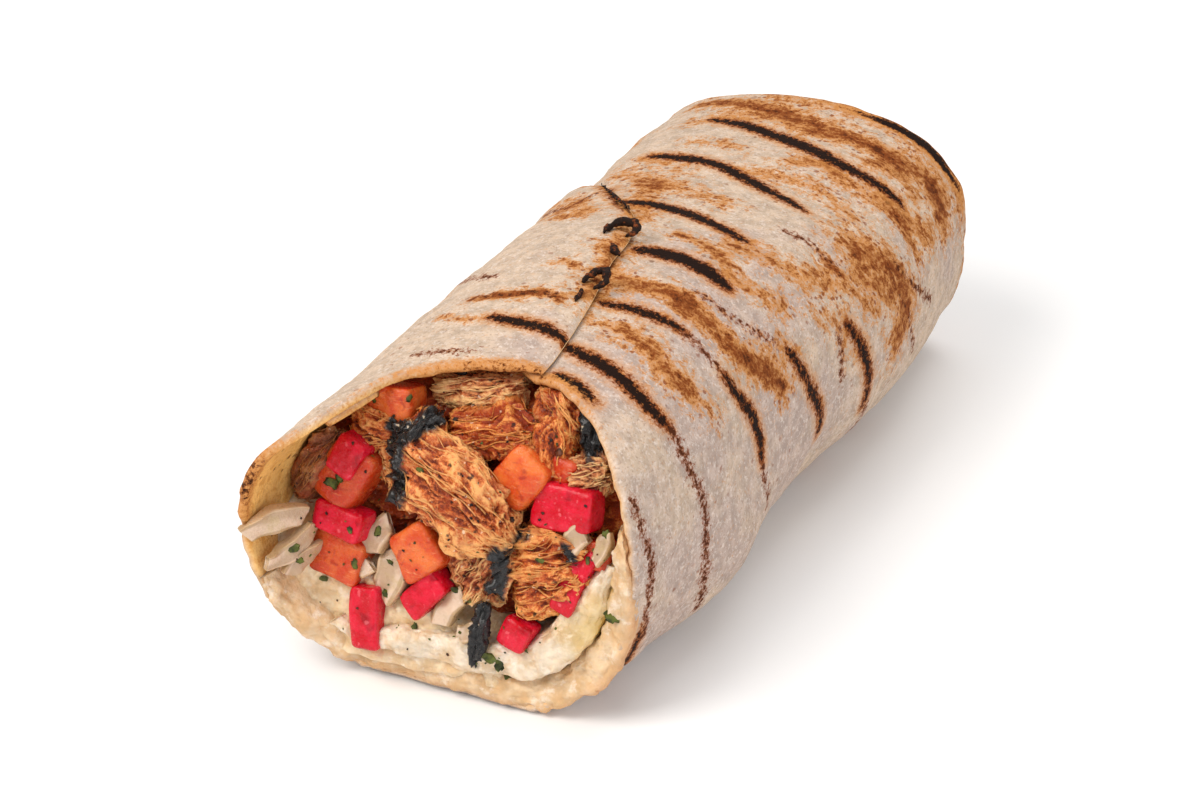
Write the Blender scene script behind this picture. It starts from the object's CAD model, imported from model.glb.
import math

import bpy
import numpy as np
from mathutils import Euler, Matrix, Vector
from mathutils.bvhtree import BVHTree


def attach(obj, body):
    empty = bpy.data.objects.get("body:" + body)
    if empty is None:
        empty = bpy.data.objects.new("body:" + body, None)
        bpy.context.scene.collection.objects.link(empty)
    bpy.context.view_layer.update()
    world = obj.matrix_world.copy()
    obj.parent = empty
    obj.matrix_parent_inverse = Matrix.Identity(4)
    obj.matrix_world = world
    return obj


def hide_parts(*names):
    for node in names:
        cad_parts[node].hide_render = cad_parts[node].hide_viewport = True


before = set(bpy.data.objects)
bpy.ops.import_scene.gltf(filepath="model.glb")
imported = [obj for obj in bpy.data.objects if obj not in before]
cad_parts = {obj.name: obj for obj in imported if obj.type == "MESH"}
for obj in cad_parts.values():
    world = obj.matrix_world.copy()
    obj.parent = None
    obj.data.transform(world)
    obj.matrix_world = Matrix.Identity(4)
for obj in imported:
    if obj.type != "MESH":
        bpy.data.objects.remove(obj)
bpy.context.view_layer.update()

print("frame loaded:", len(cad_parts), "solids")

# All shapes are worked out in millimetres, as seen from the middle of the mouth, with angles in
# degrees round the roll (0 right, 90 top, 180 left, 270 bottom). makePiece turns them to metres.
roll = {
    "zeroX": -3.2, "zeroY": 85.1,
    "stationY": [0.0, 42.6, 85.3, 127.9, 173.0],
    "halfWidth": [34.0, 35.6, 36.3, 38.2, 38.2],
    "halfHeight": [29.0, 29.8, 29.4, 27.4, 26.0],
    "driftX": [0.0, 0.7, -1.0, -2.0, -6.6],
    "length": 173.0,
    "sectionPower": 2.5,
    "bottomSag": 2.4,
    "flare": 2.0, "flareReach": 24.0,
    "bulges": [(-32.0, 52.0, 2.4)], "bulgeReach": (46.0, 24.0),
    "lipLift": 4.5, "lipReach": 16.0,
    "waveHeight": 0.5,
    "sheet": 1.6, "layerPitch": 2.0, "edgeSheet": 1.0,
    "innerRecess": 12.0, "deepestLayers": 1.25, "deepestFrom": (30.0, 55.0),
    "flapEdge": [(-10, 78), (30, 78), (50, 83), (67, 89), (78, 91), (88, 97), (98, 109),
                 (108, 124), (115, 138), (130, 172), (145, 200), (175, 205)],
    "innerEdge": [(-10, 500), (98, 500), (108, 512), (115, 524), (130, 558), (145, 583), (175, 586)],
    "mouthEdge": [(0, 14), (26, 14.5), (40, 17.5), (50, 21.5), (60, 25.5), (71, 28), (82, 27.8),
                  (90, 26.4), (101, 23.8), (109, 21.4), (117, 18.6), (121, 16.2), (124.5, 11.5),
                  (127.5, 6), (130.5, 1.2), (134, -1.6), (140, -2.6), (150, -3), (180, -2),
                  (200, -0.5), (215, 2.5), (235, 7), (255, 8.5), (270, 9), (290, 10), (310, 12),
                  (330, 13.5), (360, 14)],
    "endRadius": 4.4, "endDimple": 4.0, "pleats": 7, "pleatDepth": 1.2,
    "faceHeight": [0.0, 3.0, 14.0, 24.0, 38.0, 46.0, 53.0, 60.0],
    "faceY": [5.0, 6.0, 8.0, 10.0, 13.0, 18.0, 25.0, 32.0],
    "faceSlant": 0.16, "fillingEnd": 158.0,
}


def curve(at, knots, values):
    # Cubic pieces through the knots; the slope at a knot is that of its neighbours.
    knots, values = np.asarray(knots, float), np.asarray(values, float)
    at = np.clip(np.asarray(at, float), knots[0], knots[-1])
    slopes = np.gradient(values, knots)
    left = np.clip(np.searchsorted(knots, at) - 1, 0, len(knots) - 2)
    span = knots[left + 1] - knots[left]
    s = (at - knots[left]) / span
    return ((2 * s**3 - 3 * s**2 + 1) * values[left] + (s**3 - 2 * s**2 + s) * span * slopes[left]
            + (3 * s**2 - 2 * s**3) * values[left + 1] + (s**3 - s**2) * span * slopes[left + 1])


def rise(at, low, high):
    # 0 below low, 1 above high, 3s^2 - 2s^3 between them.
    s = np.clip((np.asarray(at, float) - low) / (high - low), 0.0, 1.0)
    return s * s * (3 - 2 * s)


def plateau(at, start, full, fade, end):
    # 0 outside start and end, 1 between full and fade.
    return rise(at, start, full) * (1 - rise(at, fade, end))


def around(phi, middle, reach):
    # 1 at the middle angle, falling smoothly to 0 at reach degrees to either side.
    return 1.0 - rise(np.abs(np.mod(phi - middle + 180.0, 360.0) - 180.0), 0.0, reach)


def alongEdge(y, edge):
    return curve(y, [p[0] for p in roll[edge]], [p[1] for p in roll[edge]])


def mouthEdge(phi):
    # Where the sheet ends at the mouth; the hidden second turn lies a little back.
    edge = curve(np.mod(phi, 360.0), [p[0] for p in roll["mouthEdge"]], [p[1] for p in roll["mouthEdge"]])
    return edge + roll["innerRecess"] * rise(phi, 438.0, 462.0)


def halfSizes(phi, y):
    wave = roll["waveHeight"] * np.sin(np.radians(2 * phi) + y / 15)
    wave = wave + roll["waveHeight"] * np.sin(np.radians(3 * phi) - y / 23)
    for angle, station, height in roll["bulges"]:
        near = 1.0 - rise(np.abs(y - station), 0.0, roll["bulgeReach"][1])
        wave = wave + height * near * around(phi, angle, roll["bulgeReach"][0])
    flare = roll["flare"] * around(phi, 172.0, 68.0) * (1.0 - rise(y, 0.0, roll["flareReach"]))
    wide = curve(y, roll["stationY"], roll["halfWidth"]) + flare + wave
    sag = np.where(np.sin(np.radians(phi)) < 0, roll["bottomSag"], 0.0)
    high = curve(y, roll["stationY"], roll["halfHeight"]) + sag + wave * np.abs(np.sin(np.radians(phi)))
    return wide, high


def floorHeight(y):
    return roll["lipLift"] * np.clip(1.0 - y / roll["lipReach"], 0.0, None) ** 2


def sectionPoint(phi, y, depth, overFloor, inset=0.0):
    # A superellipse |x/a|^p + |z/b|^p = 1 at station y, drawn in by the depth, flat on the floor.
    phi, y, depth = np.broadcast_arrays(phi, y, depth)
    station = np.clip(y, 0.0, roll["length"])
    c, s = np.cos(np.radians(phi)), np.sin(np.radians(phi))
    power = roll["sectionPower"]
    radius = (np.abs(c) ** power + np.abs(s) ** power) ** (-1.0 / power)
    wide, high = halfSizes(phi, station)
    x = curve(station, roll["stationY"], roll["driftX"]) + (wide - depth - inset) * radius * c
    middle = curve(station, roll["stationY"], roll["halfHeight"])
    z = middle + (high - depth - inset * high / middle) * radius * s
    return np.stack([x, y, np.maximum(z, floorHeight(y) + overFloor)], axis=-1)


def wallDepth(phi, y):
    # Depth of the bread's inmost skin: one turn, or two where the turns overlap.
    start = alongEdge(y, "flapEdge")
    turned = np.mod(phi - start, 360.0)
    overlapEnd = alongEdge(y, "innerEdge") - 360.0 - start
    second = 1.0 - rise(turned, overlapEnd + 4.0, overlapEnd + 20.0)
    nearRim = 1.0 - rise(y - mouthEdge(np.mod(phi, 360.0)), 0.5 * roll["innerRecess"], roll["innerRecess"])
    second = second * (1.0 - nearRim * rise(turned, 24.0, 40.0))
    layers = np.maximum(turned / 360.0 + second, roll["deepestLayers"] * rise(y, *roll["deepestFrom"]))
    return roll["sheet"] + roll["layerPitch"] * layers


def faceY(x, z):
    return curve(z, roll["faceHeight"], roll["faceY"]) + roll["faceSlant"] * x


slantedAxes = np.array(Euler((0.7, 0.5, 0.9)).to_matrix())


def smoothNoise(points, seed=0):
    # Random heights on whole-number corners of a slanted grid, blended by a smooth step.
    points = points @ slantedAxes + seed * 17.31
    corner = np.floor(points).astype(np.int64)
    part = points - corner
    part = part**3 * (part * (part * 6 - 15) + 10)
    total = np.zeros(points.shape[:-1])
    for step in np.ndindex(2, 2, 2):
        spot = corner + step
        mixed = spot[..., 0] * 374761393 + spot[..., 1] * 668265263 + spot[..., 2] * 1103515245
        mixed = (mixed ^ (mixed >> 13)) * 1274126177
        mixed = (mixed ^ (mixed >> 16)) & 0xFFFFF
        total += (mixed / 524287.5 - 1.0) * np.prod(np.where(step, part, 1 - part), axis=-1)
    return total


def cloudNoise(points, seed=0, layers=3):
    # Smooth noise summed over layers, each half as high and half as wide as the last.
    total = 0.0
    for layer in range(layers):
        total = total + smoothNoise(points * 2.0**layer, seed + layer) / 2.0**layer
    return total / 1.5


def vectorNoise(points, seed, shifts=(0, 9, 21)):
    # Three unlike noises at every point, one for each axis.
    return np.stack([smoothNoise(points + shift, seed) for shift in shifts], axis=-1)


def ridgeNoise(points, seed=0):
    # 1 along thin crests, falling to 0 in the hollows between: 1 - |noise|, sharpened.
    return np.clip(1.0 - 1.9 * np.abs(smoothNoise(points, seed)), 0.0, 1.0)


def gridFaces(rows, columns, wrapRows=False, wrapColumns=False, start=0):
    # Four corners of every cell of a grid stored row by row.
    r = np.arange(rows if wrapRows else rows - 1)[:, None]
    c = np.arange(columns if wrapColumns else columns - 1)[None, :]
    nextR, nextC = (r + 1) % rows, (c + 1) % columns
    corners = [r * columns + c, r * columns + nextC, nextR * columns + nextC, nextR * columns + c]
    return np.stack(np.broadcast_arrays(*corners), axis=-1).reshape(-1, 4) + start


def fanFaces(ring, middle, flip=False):
    # Triangles from every side of a closed ring to one point.
    ring = np.asarray(ring)
    after = np.roll(ring, -1)
    sides = [after, ring] if flip else [ring, after]
    return np.stack([*sides, np.full(len(ring), middle)], axis=-1)


def gridNormals(points, wrapRows=False, wrapColumns=False):
    # Cross product of the differences along the rows and along the columns.
    def difference(axis, wrap):
        if wrap:
            return np.roll(points, -1, axis) - np.roll(points, 1, axis)
        return np.gradient(points, axis=axis)
    normal = np.cross(difference(1, wrapColumns), difference(0, wrapRows))
    return normal / np.maximum(np.linalg.norm(normal, axis=-1, keepdims=True), 1e-9)


madePieces = {}                                   # every new piece by its name


def makePiece(name, points, faces, material, nodes=(), values=None, uv=None):
    # A mesh from millimetre points and lists of faces, riding on the roll.
    points = (np.asarray(points, float).reshape(-1, 3) - [roll["zeroX"], roll["zeroY"], 0.0]) * 0.001
    mesh = bpy.data.meshes.new(name)
    mesh.from_pydata(points.tolist(), [], [face for part in faces for face in part.tolist()])
    for key, value in (values or {}).items():
        attribute = mesh.attributes.new(key, "FLOAT", "POINT")
        attribute.data.foreach_set("value", np.asarray(value, np.float32).ravel())
    if uv is not None:
        corners = np.zeros(len(mesh.loops), np.int32)
        mesh.loops.foreach_get("vertex_index", corners)
        mesh.uv_layers.new(name="sheet").data.foreach_set("uv", uv.reshape(-1, 2)[corners].ravel())
    mesh.materials.append(material)
    mesh.shade_smooth()
    piece = bpy.data.objects.new(name, mesh)
    bpy.context.collection.objects.link(piece)
    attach(piece, "root")
    if nodes:
        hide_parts(*nodes)
    madePieces[name] = piece
    print(f"{name}: {sum(len(part) * (part.shape[1] - 2) for part in faces)} triangles")
    return piece


def colourOf(red, green, blue):
    # Screen values 0-255 to the linear colour that a shader takes.
    def linear(value):
        value = value / 255
        return value / 12.92 if value <= 0.04045 else ((value + 0.055) / 1.055) ** 2.4
    return (linear(red), linear(green), linear(blue), 1.0)


def put(tree, kind, inputs=None, **settings):
    # One node with its settings, and its inputs set to values or joined to other nodes' outputs.
    node = tree.nodes.new(kind)
    for key, value in settings.items():
        setattr(node, key, value)
    for key, value in (inputs or {}).items():
        if isinstance(value, bpy.types.NodeSocket):
            tree.links.new(value, node.inputs[key])
        else:
            node.inputs[key].default_value = value
    return node


def sums(tree, operation, *values, clamp=False):
    return put(tree, "ShaderNodeMath", dict(enumerate(values)), operation=operation,
               use_clamp=clamp).outputs[0]


def between(tree, value, low, high, lowOut=0.0, highOut=1.0):
    # A smooth step of a value from low to high.
    node = put(tree, "ShaderNodeMapRange", {"Value": value, "From Min": low, "From Max": high,
                                            "To Min": lowOut, "To Max": highOut},
               interpolation_type="SMOOTHSTEP")
    return node.outputs["Result"]


def times(tree, first, second):
    return sums(tree, "MULTIPLY", first, second)


def timesPlus(tree, first, second, third):
    return sums(tree, "MULTIPLY_ADD", first, second, third)


def mixed(tree, share, first, second, blend="MIX"):
    # Colours mixed by a share.
    return put(tree, "ShaderNodeMix", {0: share, 6: first, 7: second}, data_type="RGBA", blend_type=blend,
               clamp_factor=True).outputs[2]


def shaded(tree, colour, shade):
    # A colour multiplied by one grey value.
    grey = put(tree, "ShaderNodeCombineColor", {0: shade, 1: shade, 2: shade}).outputs[0]
    return mixed(tree, 1.0, colour, grey, "MULTIPLY")


def cloud(tree, vector, scale, detail=3.0, rough=0.55, distortion=0.0):
    node = put(tree, "ShaderNodeTexNoise", {"Vector": vector, "Scale": scale, "Detail": detail,
                                            "Roughness": rough, "Distortion": distortion})
    return node.outputs["Fac"]


def millimetres(tree):
    # Object coordinates in millimetres.
    place = tree.nodes.new("ShaderNodeTexCoord").outputs["Object"]
    return put(tree, "ShaderNodeVectorMath", {0: place, "Scale": 1000.0}, operation="SCALE").outputs[0]


def newGroup(name, inputs, outputs):
    group = bpy.data.node_groups.new(name, "ShaderNodeTree")
    for label, kind, value in inputs:
        socket = group.interface.new_socket(label, in_out="INPUT", socket_type=kind)
        if value is not None:
            socket.default_value = value
    for label, kind in outputs:
        group.interface.new_socket(label, in_out="OUTPUT", socket_type=kind)
    return group, group.nodes.new("NodeGroupInput").outputs, group.nodes.new("NodeGroupOutput").inputs


def makeFreckles():
    # Small round spots, one in each cell, of uneven size; Amount of the cells have one.
    group, entry, leave = newGroup(
        "foodFreckles",
        [("Vector", "NodeSocketVector", None), ("Spacing", "NodeSocketFloat", 2.0),
         ("Size", "NodeSocketFloat", 0.25), ("Amount", "NodeSocketFloat", 0.5)],
        [("Mask", "NodeSocketFloat")])
    perMm = sums(group, "DIVIDE", 1.0, entry["Spacing"])
    wobble = put(group, "ShaderNodeTexNoise", {"Vector": entry["Vector"], "Scale": 1.3, "Detail": 2.0})
    shaken = put(group, "ShaderNodeVectorMath", {0: entry["Vector"], 1: wobble.outputs["Color"]},
                 operation="ADD")
    cells = put(group, "ShaderNodeTexVoronoi", {"Vector": shaken.outputs[0], "Scale": perMm,
                                                "Randomness": 1.0})
    parts = put(group, "ShaderNodeSeparateColor", {"Color": cells.outputs["Color"]})
    reach = times(group, entry["Size"], sums(group, "ADD", parts.outputs[1], 0.35))
    near = sums(group, "SUBTRACT", reach, cells.outputs["Distance"])
    spot = sums(group, "MULTIPLY", near, 9.0, clamp=True)
    kept = sums(group, "LESS_THAN", parts.outputs[0], entry["Amount"])
    group.links.new(times(group, spot, kept), leave["Mask"])
    return group


def makeGrain():
    # Fine and coarse unevenness in one height, both given by their size in millimetres.
    group, entry, leave = newGroup(
        "foodGrain",
        [("Vector", "NodeSocketVector", None), ("Fine size", "NodeSocketFloat", 0.4),
         ("Coarse size", "NodeSocketFloat", 2.0), ("Coarse share", "NodeSocketFloat", 0.6)],
        [("Height", "NodeSocketFloat"), ("Coarse", "NodeSocketFloat"), ("Fine", "NodeSocketFloat")])
    coarse = cloud(group, entry["Vector"], sums(group, "DIVIDE", 1.0, entry["Coarse size"]), 3.0)
    fine = cloud(group, entry["Vector"], sums(group, "DIVIDE", 1.0, entry["Fine size"]), 2.0, 0.6)
    weighted = times(group, coarse, entry["Coarse share"])
    rest = times(group, fine, sums(group, "SUBTRACT", 1.0, entry["Coarse share"]))
    group.links.new(sums(group, "ADD", weighted, rest), leave["Height"])
    group.links.new(coarse, leave["Coarse"])
    group.links.new(fine, leave["Fine"])
    return group


frecklesGroup = makeFreckles()
grainGroup = makeGrain()
print("shader groups made")


def useGroup(tree, group, inputs=None):
    return put(tree, "ShaderNodeGroup", inputs, node_tree=group).outputs


def freckled(tree, vector, spacing, size, amount):
    # Where the freckles are: their spacing (mm), their size in it, and the share of cells with one.
    return useGroup(tree, frecklesGroup, {"Vector": vector, "Spacing": spacing, "Size": size,
                                          "Amount": amount})["Mask"]


def valueOf(tree, name):
    return put(tree, "ShaderNodeAttribute", attribute_name=name, attribute_type="GEOMETRY").outputs["Fac"]


def newMaterial(name, **plain):
    # A material with one Principled shader, whose even settings are set on its own sockets.
    material = bpy.data.materials.new(name)
    material.use_nodes = True
    tree = material.node_tree
    shader = tree.nodes["Principled BSDF"]
    for key, value in plain.items():
        shader.inputs[key].default_value = value
    return material, tree, shader


def bump(tree, shader, height, distance, strength=1.0):
    node = put(tree, "ShaderNodeBump", {"Height": height, "Distance": distance * 0.001,
                                        "Strength": strength})
    tree.links.new(node.outputs["Normal"], shader.inputs["Normal"])


breadLook = {
    "flour": colourOf(184, 163, 151), "cream": colourOf(200, 177, 155), "dusty": colourOf(218, 203, 192),
    "damp": colourOf(156, 130, 114), "golden": colourOf(196, 132, 70), "brown": colourOf(128, 62, 22),
    "darkBrown": colourOf(70, 32, 12), "char": colourOf(30, 13, 5),
    "oily": colourOf(244, 192, 112), "oilyDeep": colourOf(212, 146, 66), "inside": colourOf(228, 188, 138),
}
# Grill marks as (angle, y) along the bread with their greatest width in millimetres
breadMarks = {
    "width": [
        (1.9, [(106, 39.5), (96, 39.5), (87.5, 39), (79, 38.4)]),
        (2.5, [(82, 38.4), (69, 37.5), (56.5, 36), (48, 34.5), (40, 34.8)]),
        (1.7, [(84, 55), (72, 56.5), (64.5, 57), (57, 57.5)]),
        (1.7, [(38, 57.3), (31.5, 57.8), (24, 59.5), (12, 61.5), (1, 61)]),
        (3.6, [(88, 76), (78, 78), (67, 78), (56, 77)]),
        (2.7, [(112, 98.5), (97.5, 99.5), (83.5, 98.5), (64, 95.4)]),
        (2.5, [(123, 128), (107, 127.5), (95, 126.5), (79, 122.5), (62, 118.6)]),
        (3.0, [(116, 151.8), (100, 149.5), (81, 145.5), (62.5, 142), (41, 142.5)]),
        (1.7, [(29, 79), (14, 82), (-2, 86.5), (-13, 87.5)]),
        (1.4, [(23, 100), (9, 104), (-6, 107), (-18, 106.5)]),
        (1.1, [(75, 30.0), (68, 29.6), (60, 27.4)]),
        (1.3, [(124, 109), (107, 94.6), (98, 89.4)]),
        (1.2, [(-20, 17), (-34, 18), (-52, 21)])],
    "dotted": [
        (1.6, [(48, 34.5), (37.5, 35), (25, 35), (6.5, 37.5), (-12, 37.5), (-34, 39)]),
        (1.2, [(60, 57.5), (50.5, 57), (42, 57), (31.5, 57.5)]),
        (1.0, [(12, 61.5), (-4, 61), (-16, 62)]),
        (1.5, [(30.5, 16.5), (20, 17), (3.5, 18.5), (-11, 18), (-24, 19)]),
        (1.2, [(23, 100), (9, 104), (-6, 107), (-34, 110)]),
        (0.9, [(119, 26), (107, 26.5), (99, 28.5)]),
        (1.3, [(22, 97), (12, 96.5), (2, 96.5)]),
        (1.2, [(29, 125), (16, 130), (0, 140)]),
        (0.8, [(19, 122.5), (4, 126), (-15, 131)]),
        (1.3, [(118, 47), (110, 47.5), (103.5, 48.5), (97, 50), (91, 49)]),
        (1.0, [(140, 62), (128, 58), (119, 56)]),
        (1.0, [(136, 96), (124, 93), (117, 99)]),
        (1.1, [(60, 106), (50, 107), (38, 106)]),
        (1.0, [(62, 70), (48, 71), (34, 76)])],
    # Browned streaks beside the marks: reach, strength and path
    "toasted": [
        (3.0, 1.15, [(125, 163.5), (109.5, 161), (96, 160)]),
        (3.2, 1.05, [(89, 158), (82, 157), (74.5, 155)]),
        (3.2, 1.15, [(68, 155), (63.5, 155), (57.5, 154.5)]),
        (4.2, 1.10, [(50.5, 155.5), (41, 158), (31.5, 156)]),
        (2.4, 0.62, [(112.5, 136.5), (104, 138), (96.5, 137.5)]),
        (3.0, 0.66, [(89, 127.5), (72, 130), (61.5, 128.5), (51.5, 126.5)]),
        (3.6, 0.72, [(124.5, 118.5), (106.5, 112), (92.5, 111), (83, 109)]),
        (2.6, 0.60, [(124, 128), (114, 124), (105.5, 120)]),
        (3.6, 0.80, [(65.5, 91.5), (57, 93.5), (47, 95), (39, 101)]),
        (2.4, 0.85, [(65.5, 85), (56, 81), (45.5, 83), (40.5, 84.5)]),
        (2.8, 1.10, [(81, 64.5), (75, 64.5), (63, 66)]),
        (3.0, 1.15, [(61.5, 64), (51.5, 64.5), (40, 64.5), (29, 68.5), (19, 73.5)]),
        (3.2, 1.00, [(69, 48.5), (59.5, 47), (50.5, 45), (45.5, 46)]),
        (1.8, 0.60, [(81, 48.5), (72.5, 49)]),
        (5.4, 1.10, [(42, 117), (33.5, 121), (22.5, 124), (10, 124), (2, 120.5)]),
        (3.2, 0.62, [(40.5, 106), (30.5, 106.5), (20, 110.5)]),
        (3.4, 0.92, [(49.5, 137.5), (38, 140), (27, 143)]),
        (3.2, 0.70, [(35, 157.5), (28, 154), (22, 151.5)]),
        (3.2, 0.66, [(132, 100), (123, 96), (114, 87)]),
        (1.8, 0.85, [(118, 47), (110, 47.5), (103.5, 48.5), (97, 50), (91, 49)]),
        (3.0, 0.46, [(44.5, 45), (38, 46.5), (32, 48)]),
        (3.4, 0.50, [(36.5, 68.5), (31, 74), (25.5, 79.5)]),
        (2.6, 0.50, [(97, 73), (88, 65.5), (83.5, 55.5)]),
        (3.4, 0.60, [(120, 150), (100, 156), (80, 152)]),
        (3.2, 0.46, [(30, 92), (22, 98), (12, 100)]),
        (2.4, 0.95, [(97, 84), (92, 77), (90, 70), (88, 62), (86.5, 53)]),
        (3.0, 0.80, [(112, 112), (104, 101), (98, 92)]),
        (2.2, 0.90, [(82, 88), (76, 87), (70, 86)]),
        (2.6, 0.95, [(78, 137), (70, 139), (60, 137)]),
        (2.6, 0.80, [(58, 148), (48, 150), (40, 148)]),
        (2.4, 0.80, [(34, 112), (26, 115), (20, 117)]),
        (1.6, 0.9, [(40, 138), (33, 137), (24, 136)]),
        (2.4, 0.80, [(134, 91), (127, 91), (121, 94)]),
        (1.6, 0.75, [(121, 86), (116, 85), (112, 88)]),
        (1.5, 0.70, [(104, 62), (100, 63), (96, 61)]),
        (1.4, 0.80, [(110, 47.5), (103.5, 48.5), (98, 49.5)]),
        (1.2, 0.70, [(122, 40), (114, 38.5), (108, 39)]),
        (5.0, 0.62, [(100, 168), (80, 168), (60, 167), (40, 167), (20, 166)])],
    # The same kind of marks go on round the hidden side: first y, spacing, angles and drift along y
    "hidden": {"first": 22.0, "spacing": 21.0, "count": 7, "from": -62.0, "to": -108.0, "backFrom": 152.0,
               "backTo": 214.0, "drift": 7.0, "width": 2.2},
}
for number in range(breadMarks["hidden"]["count"]):
    h = breadMarks["hidden"]
    y = h["first"] + h["spacing"] * number + 3.0 * math.sin(2.3 * number)
    backY = y + 9.0 * math.cos(1.7 * number)
    under = [(h["from"] - 8 * math.sin(number), y), (0.5 * (h["from"] + h["to"]), y + 0.4 * h["drift"]),
             (h["to"] - 9 * math.cos(number), y + (1.0 + 0.5 * math.sin(3.7 * number)) * h["drift"])]
    behind = [(h["backFrom"] + 9 * math.sin(2 * number), backY + h["drift"]),
              (0.5 * (h["backFrom"] + h["backTo"]), backY + 0.5 * h["drift"]),
              (h["backTo"] + 8 * math.cos(3 * number), backY)]
    breadMarks["width"] += [(h["width"] * (0.7 + 0.3 * math.sin(number)), under),
                            (h["width"] * (0.8 + 0.3 * math.cos(number)), behind)]
    breadMarks["toasted"] += [(4.4, 0.85, [(p, y + 4.5) for p, y in under]),
                              (4.0, 0.80, [(p, y - 4.5) for p, y in behind])]
print("bread marks listed:", len(breadMarks["width"]) + len(breadMarks["dotted"]))


# How the outer skin is coloured: y (mm) along the roll, degrees round it
breadTone = {
    "markShare": 0.9, "farOff": 9.0,                # width of a black mark, and the gap where none is near
    "near": 0.80, "far": 0.08, "farReach": 2.4, "overlap": 0.55,             # the glow of browned streaks
    "farBand": (165.0, 171.0, 174.0, 180.0), "farBandToast": 0.62,
    "patchSize": 15.0, "patchFrom": (172.0, 178.0), "patchToast": 0.55,
    "flapToast": 0.5, "flapReach": (1.0, 7.0), "flapFrom": (40.0, 60.0),
    "warmAt": (130, 70), "warmFrom": (60, 120),
    "farLine": {"strength": 2.3, "around": (50, 46), "y": 167.4, "reach": 1.7},
    "flapLine": {"strength": 1.15, "offset": 1.2, "reach": 1.8, "along": (84, 92, 118, 130)},
    "leftLip": {"strength": 1.05, "around": (156, 38)}, "topLip": {"strength": 0.85, "around": (90, 56)},
    "oilAround": (155, 95), "oilFrom": (22, 36),
    "turnEnds": (372.0, 364.0),                     # degrees past the flap's edge where the marks fade out
    "lipFade": {"outside": 3.2, "left": 3.0, "top": 4.0},
    "bandReach": 16.0, "bandPoint": 0.4,            # how far a mark's gap is measured, how blunt its ends are
    "sheetSize": 400,                               # millimetres to the whole of the UV map
}


def breadUneven(phi, y):
    # Gentle hollows and puffs of the baked sheet, the same on both turns.
    radius = breadGrid["puffRadius"]
    spot = np.stack([radius * np.cos(np.radians(phi)), y, radius * np.sin(np.radians(phi))], axis=-1)
    return sum(height * smoothNoise(spot / size, seed) for size, height, seed in breadGrid["puffs"])


def bandGap(points, width, path, pointed=True):
    # Distance of every point to a curved band on the outside, less half the band's width there.
    share = np.linspace(0, 1, len(path))
    fine = np.linspace(0, 1, 6 * len(path))
    phi, y = (curve(fine, share, [p[axis] for p in path]) for axis in (0, 1))
    outermost = roll["layerPitch"] * np.mod(phi - alongEdge(y, "flapEdge"), 360.0) / 360.0
    line = sectionPoint(phi, y, outermost, 0.0)
    taper = np.sin(math.pi * fine) ** breadTone["bandPoint"] if pointed else np.ones(len(fine))
    half = 0.5 * width * taper
    best = np.full(len(points), 99.0)
    reach = np.linalg.norm(line[0] - line[-1]) + breadTone["bandReach"]
    near = np.nonzero(np.linalg.norm(points - line.mean(axis=0), axis=1) < reach)[0]
    close = points[near]
    gap = np.full(len(close), 99.0)
    for start, end, halfA, halfB in zip(line, line[1:], half, half[1:]):
        along = end - start
        t = np.clip((close - start) @ along / max(along @ along, 1e-9), 0, 1)
        away = np.linalg.norm(close - start - t[:, None] * along, axis=1)
        gap = np.minimum(gap, away - halfA - (halfB - halfA) * t)
    best[near] = gap
    return best


breadGrid = {"flapColumns": 80, "steadyColumns": 142, "tailColumns": 24, "sideRows": 156,
             "roundRows": 8, "capRows": 24, "lipRows": 6,
             "steadyFrom": 225.0, "steadyTo": 445.0,          # angles where the columns stand straight
             "flapCrowding": 0.25, "frontCrowding": 0.4,      # 0 even, 1 all towards the edge
             "lipBulge": 0.55, "edgeRound": 1.3, "edgeReach": 5.4, "innerRound": 0.3, "mmPerDegree": 0.6,
             "pinch": 0.45, "fold": 0.9, "raggedReach": 4.0, "puffRadius": 33,
             # size, height and seed of the noise; size, height and start of the waves
             "puffs": [(14, 0.55, 3), (5, 0.22, 4), (1.9, 0.10, 5)],
             "ragged": [(4, 0.45, 61), (1.7, 0.3, 62)],
             "slitWaves": [(4.6, 1.2, 0.0), (1.9, 0.5, 1.0)]}


def breadColumns(y):
    # Angle of every column at its station: the flap's, the straight ones, then the hidden tail's.
    start, finish = alongEdge(y, "flapEdge"), alongEdge(y, "innerEdge")
    flap, steady, tail = (breadGrid[key] for key in ("flapColumns", "steadyColumns", "tailColumns"))
    number = np.arange(y.shape[-1], dtype=float)
    low, high, crowding = (breadGrid[key] for key in ("steadyFrom", "steadyTo", "flapCrowding"))
    flapShare = crowding * (number / flap) ** 3 + (1 - crowding) * number / flap
    tailShare = (number - flap - steady) / tail
    middle = low + (high - low) * (number - flap) / steady
    return np.where(number < flap, start + (low - start) * flapShare,
                    np.where(tailShare < 0, middle, high + (finish - high) * tailShare))


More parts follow.
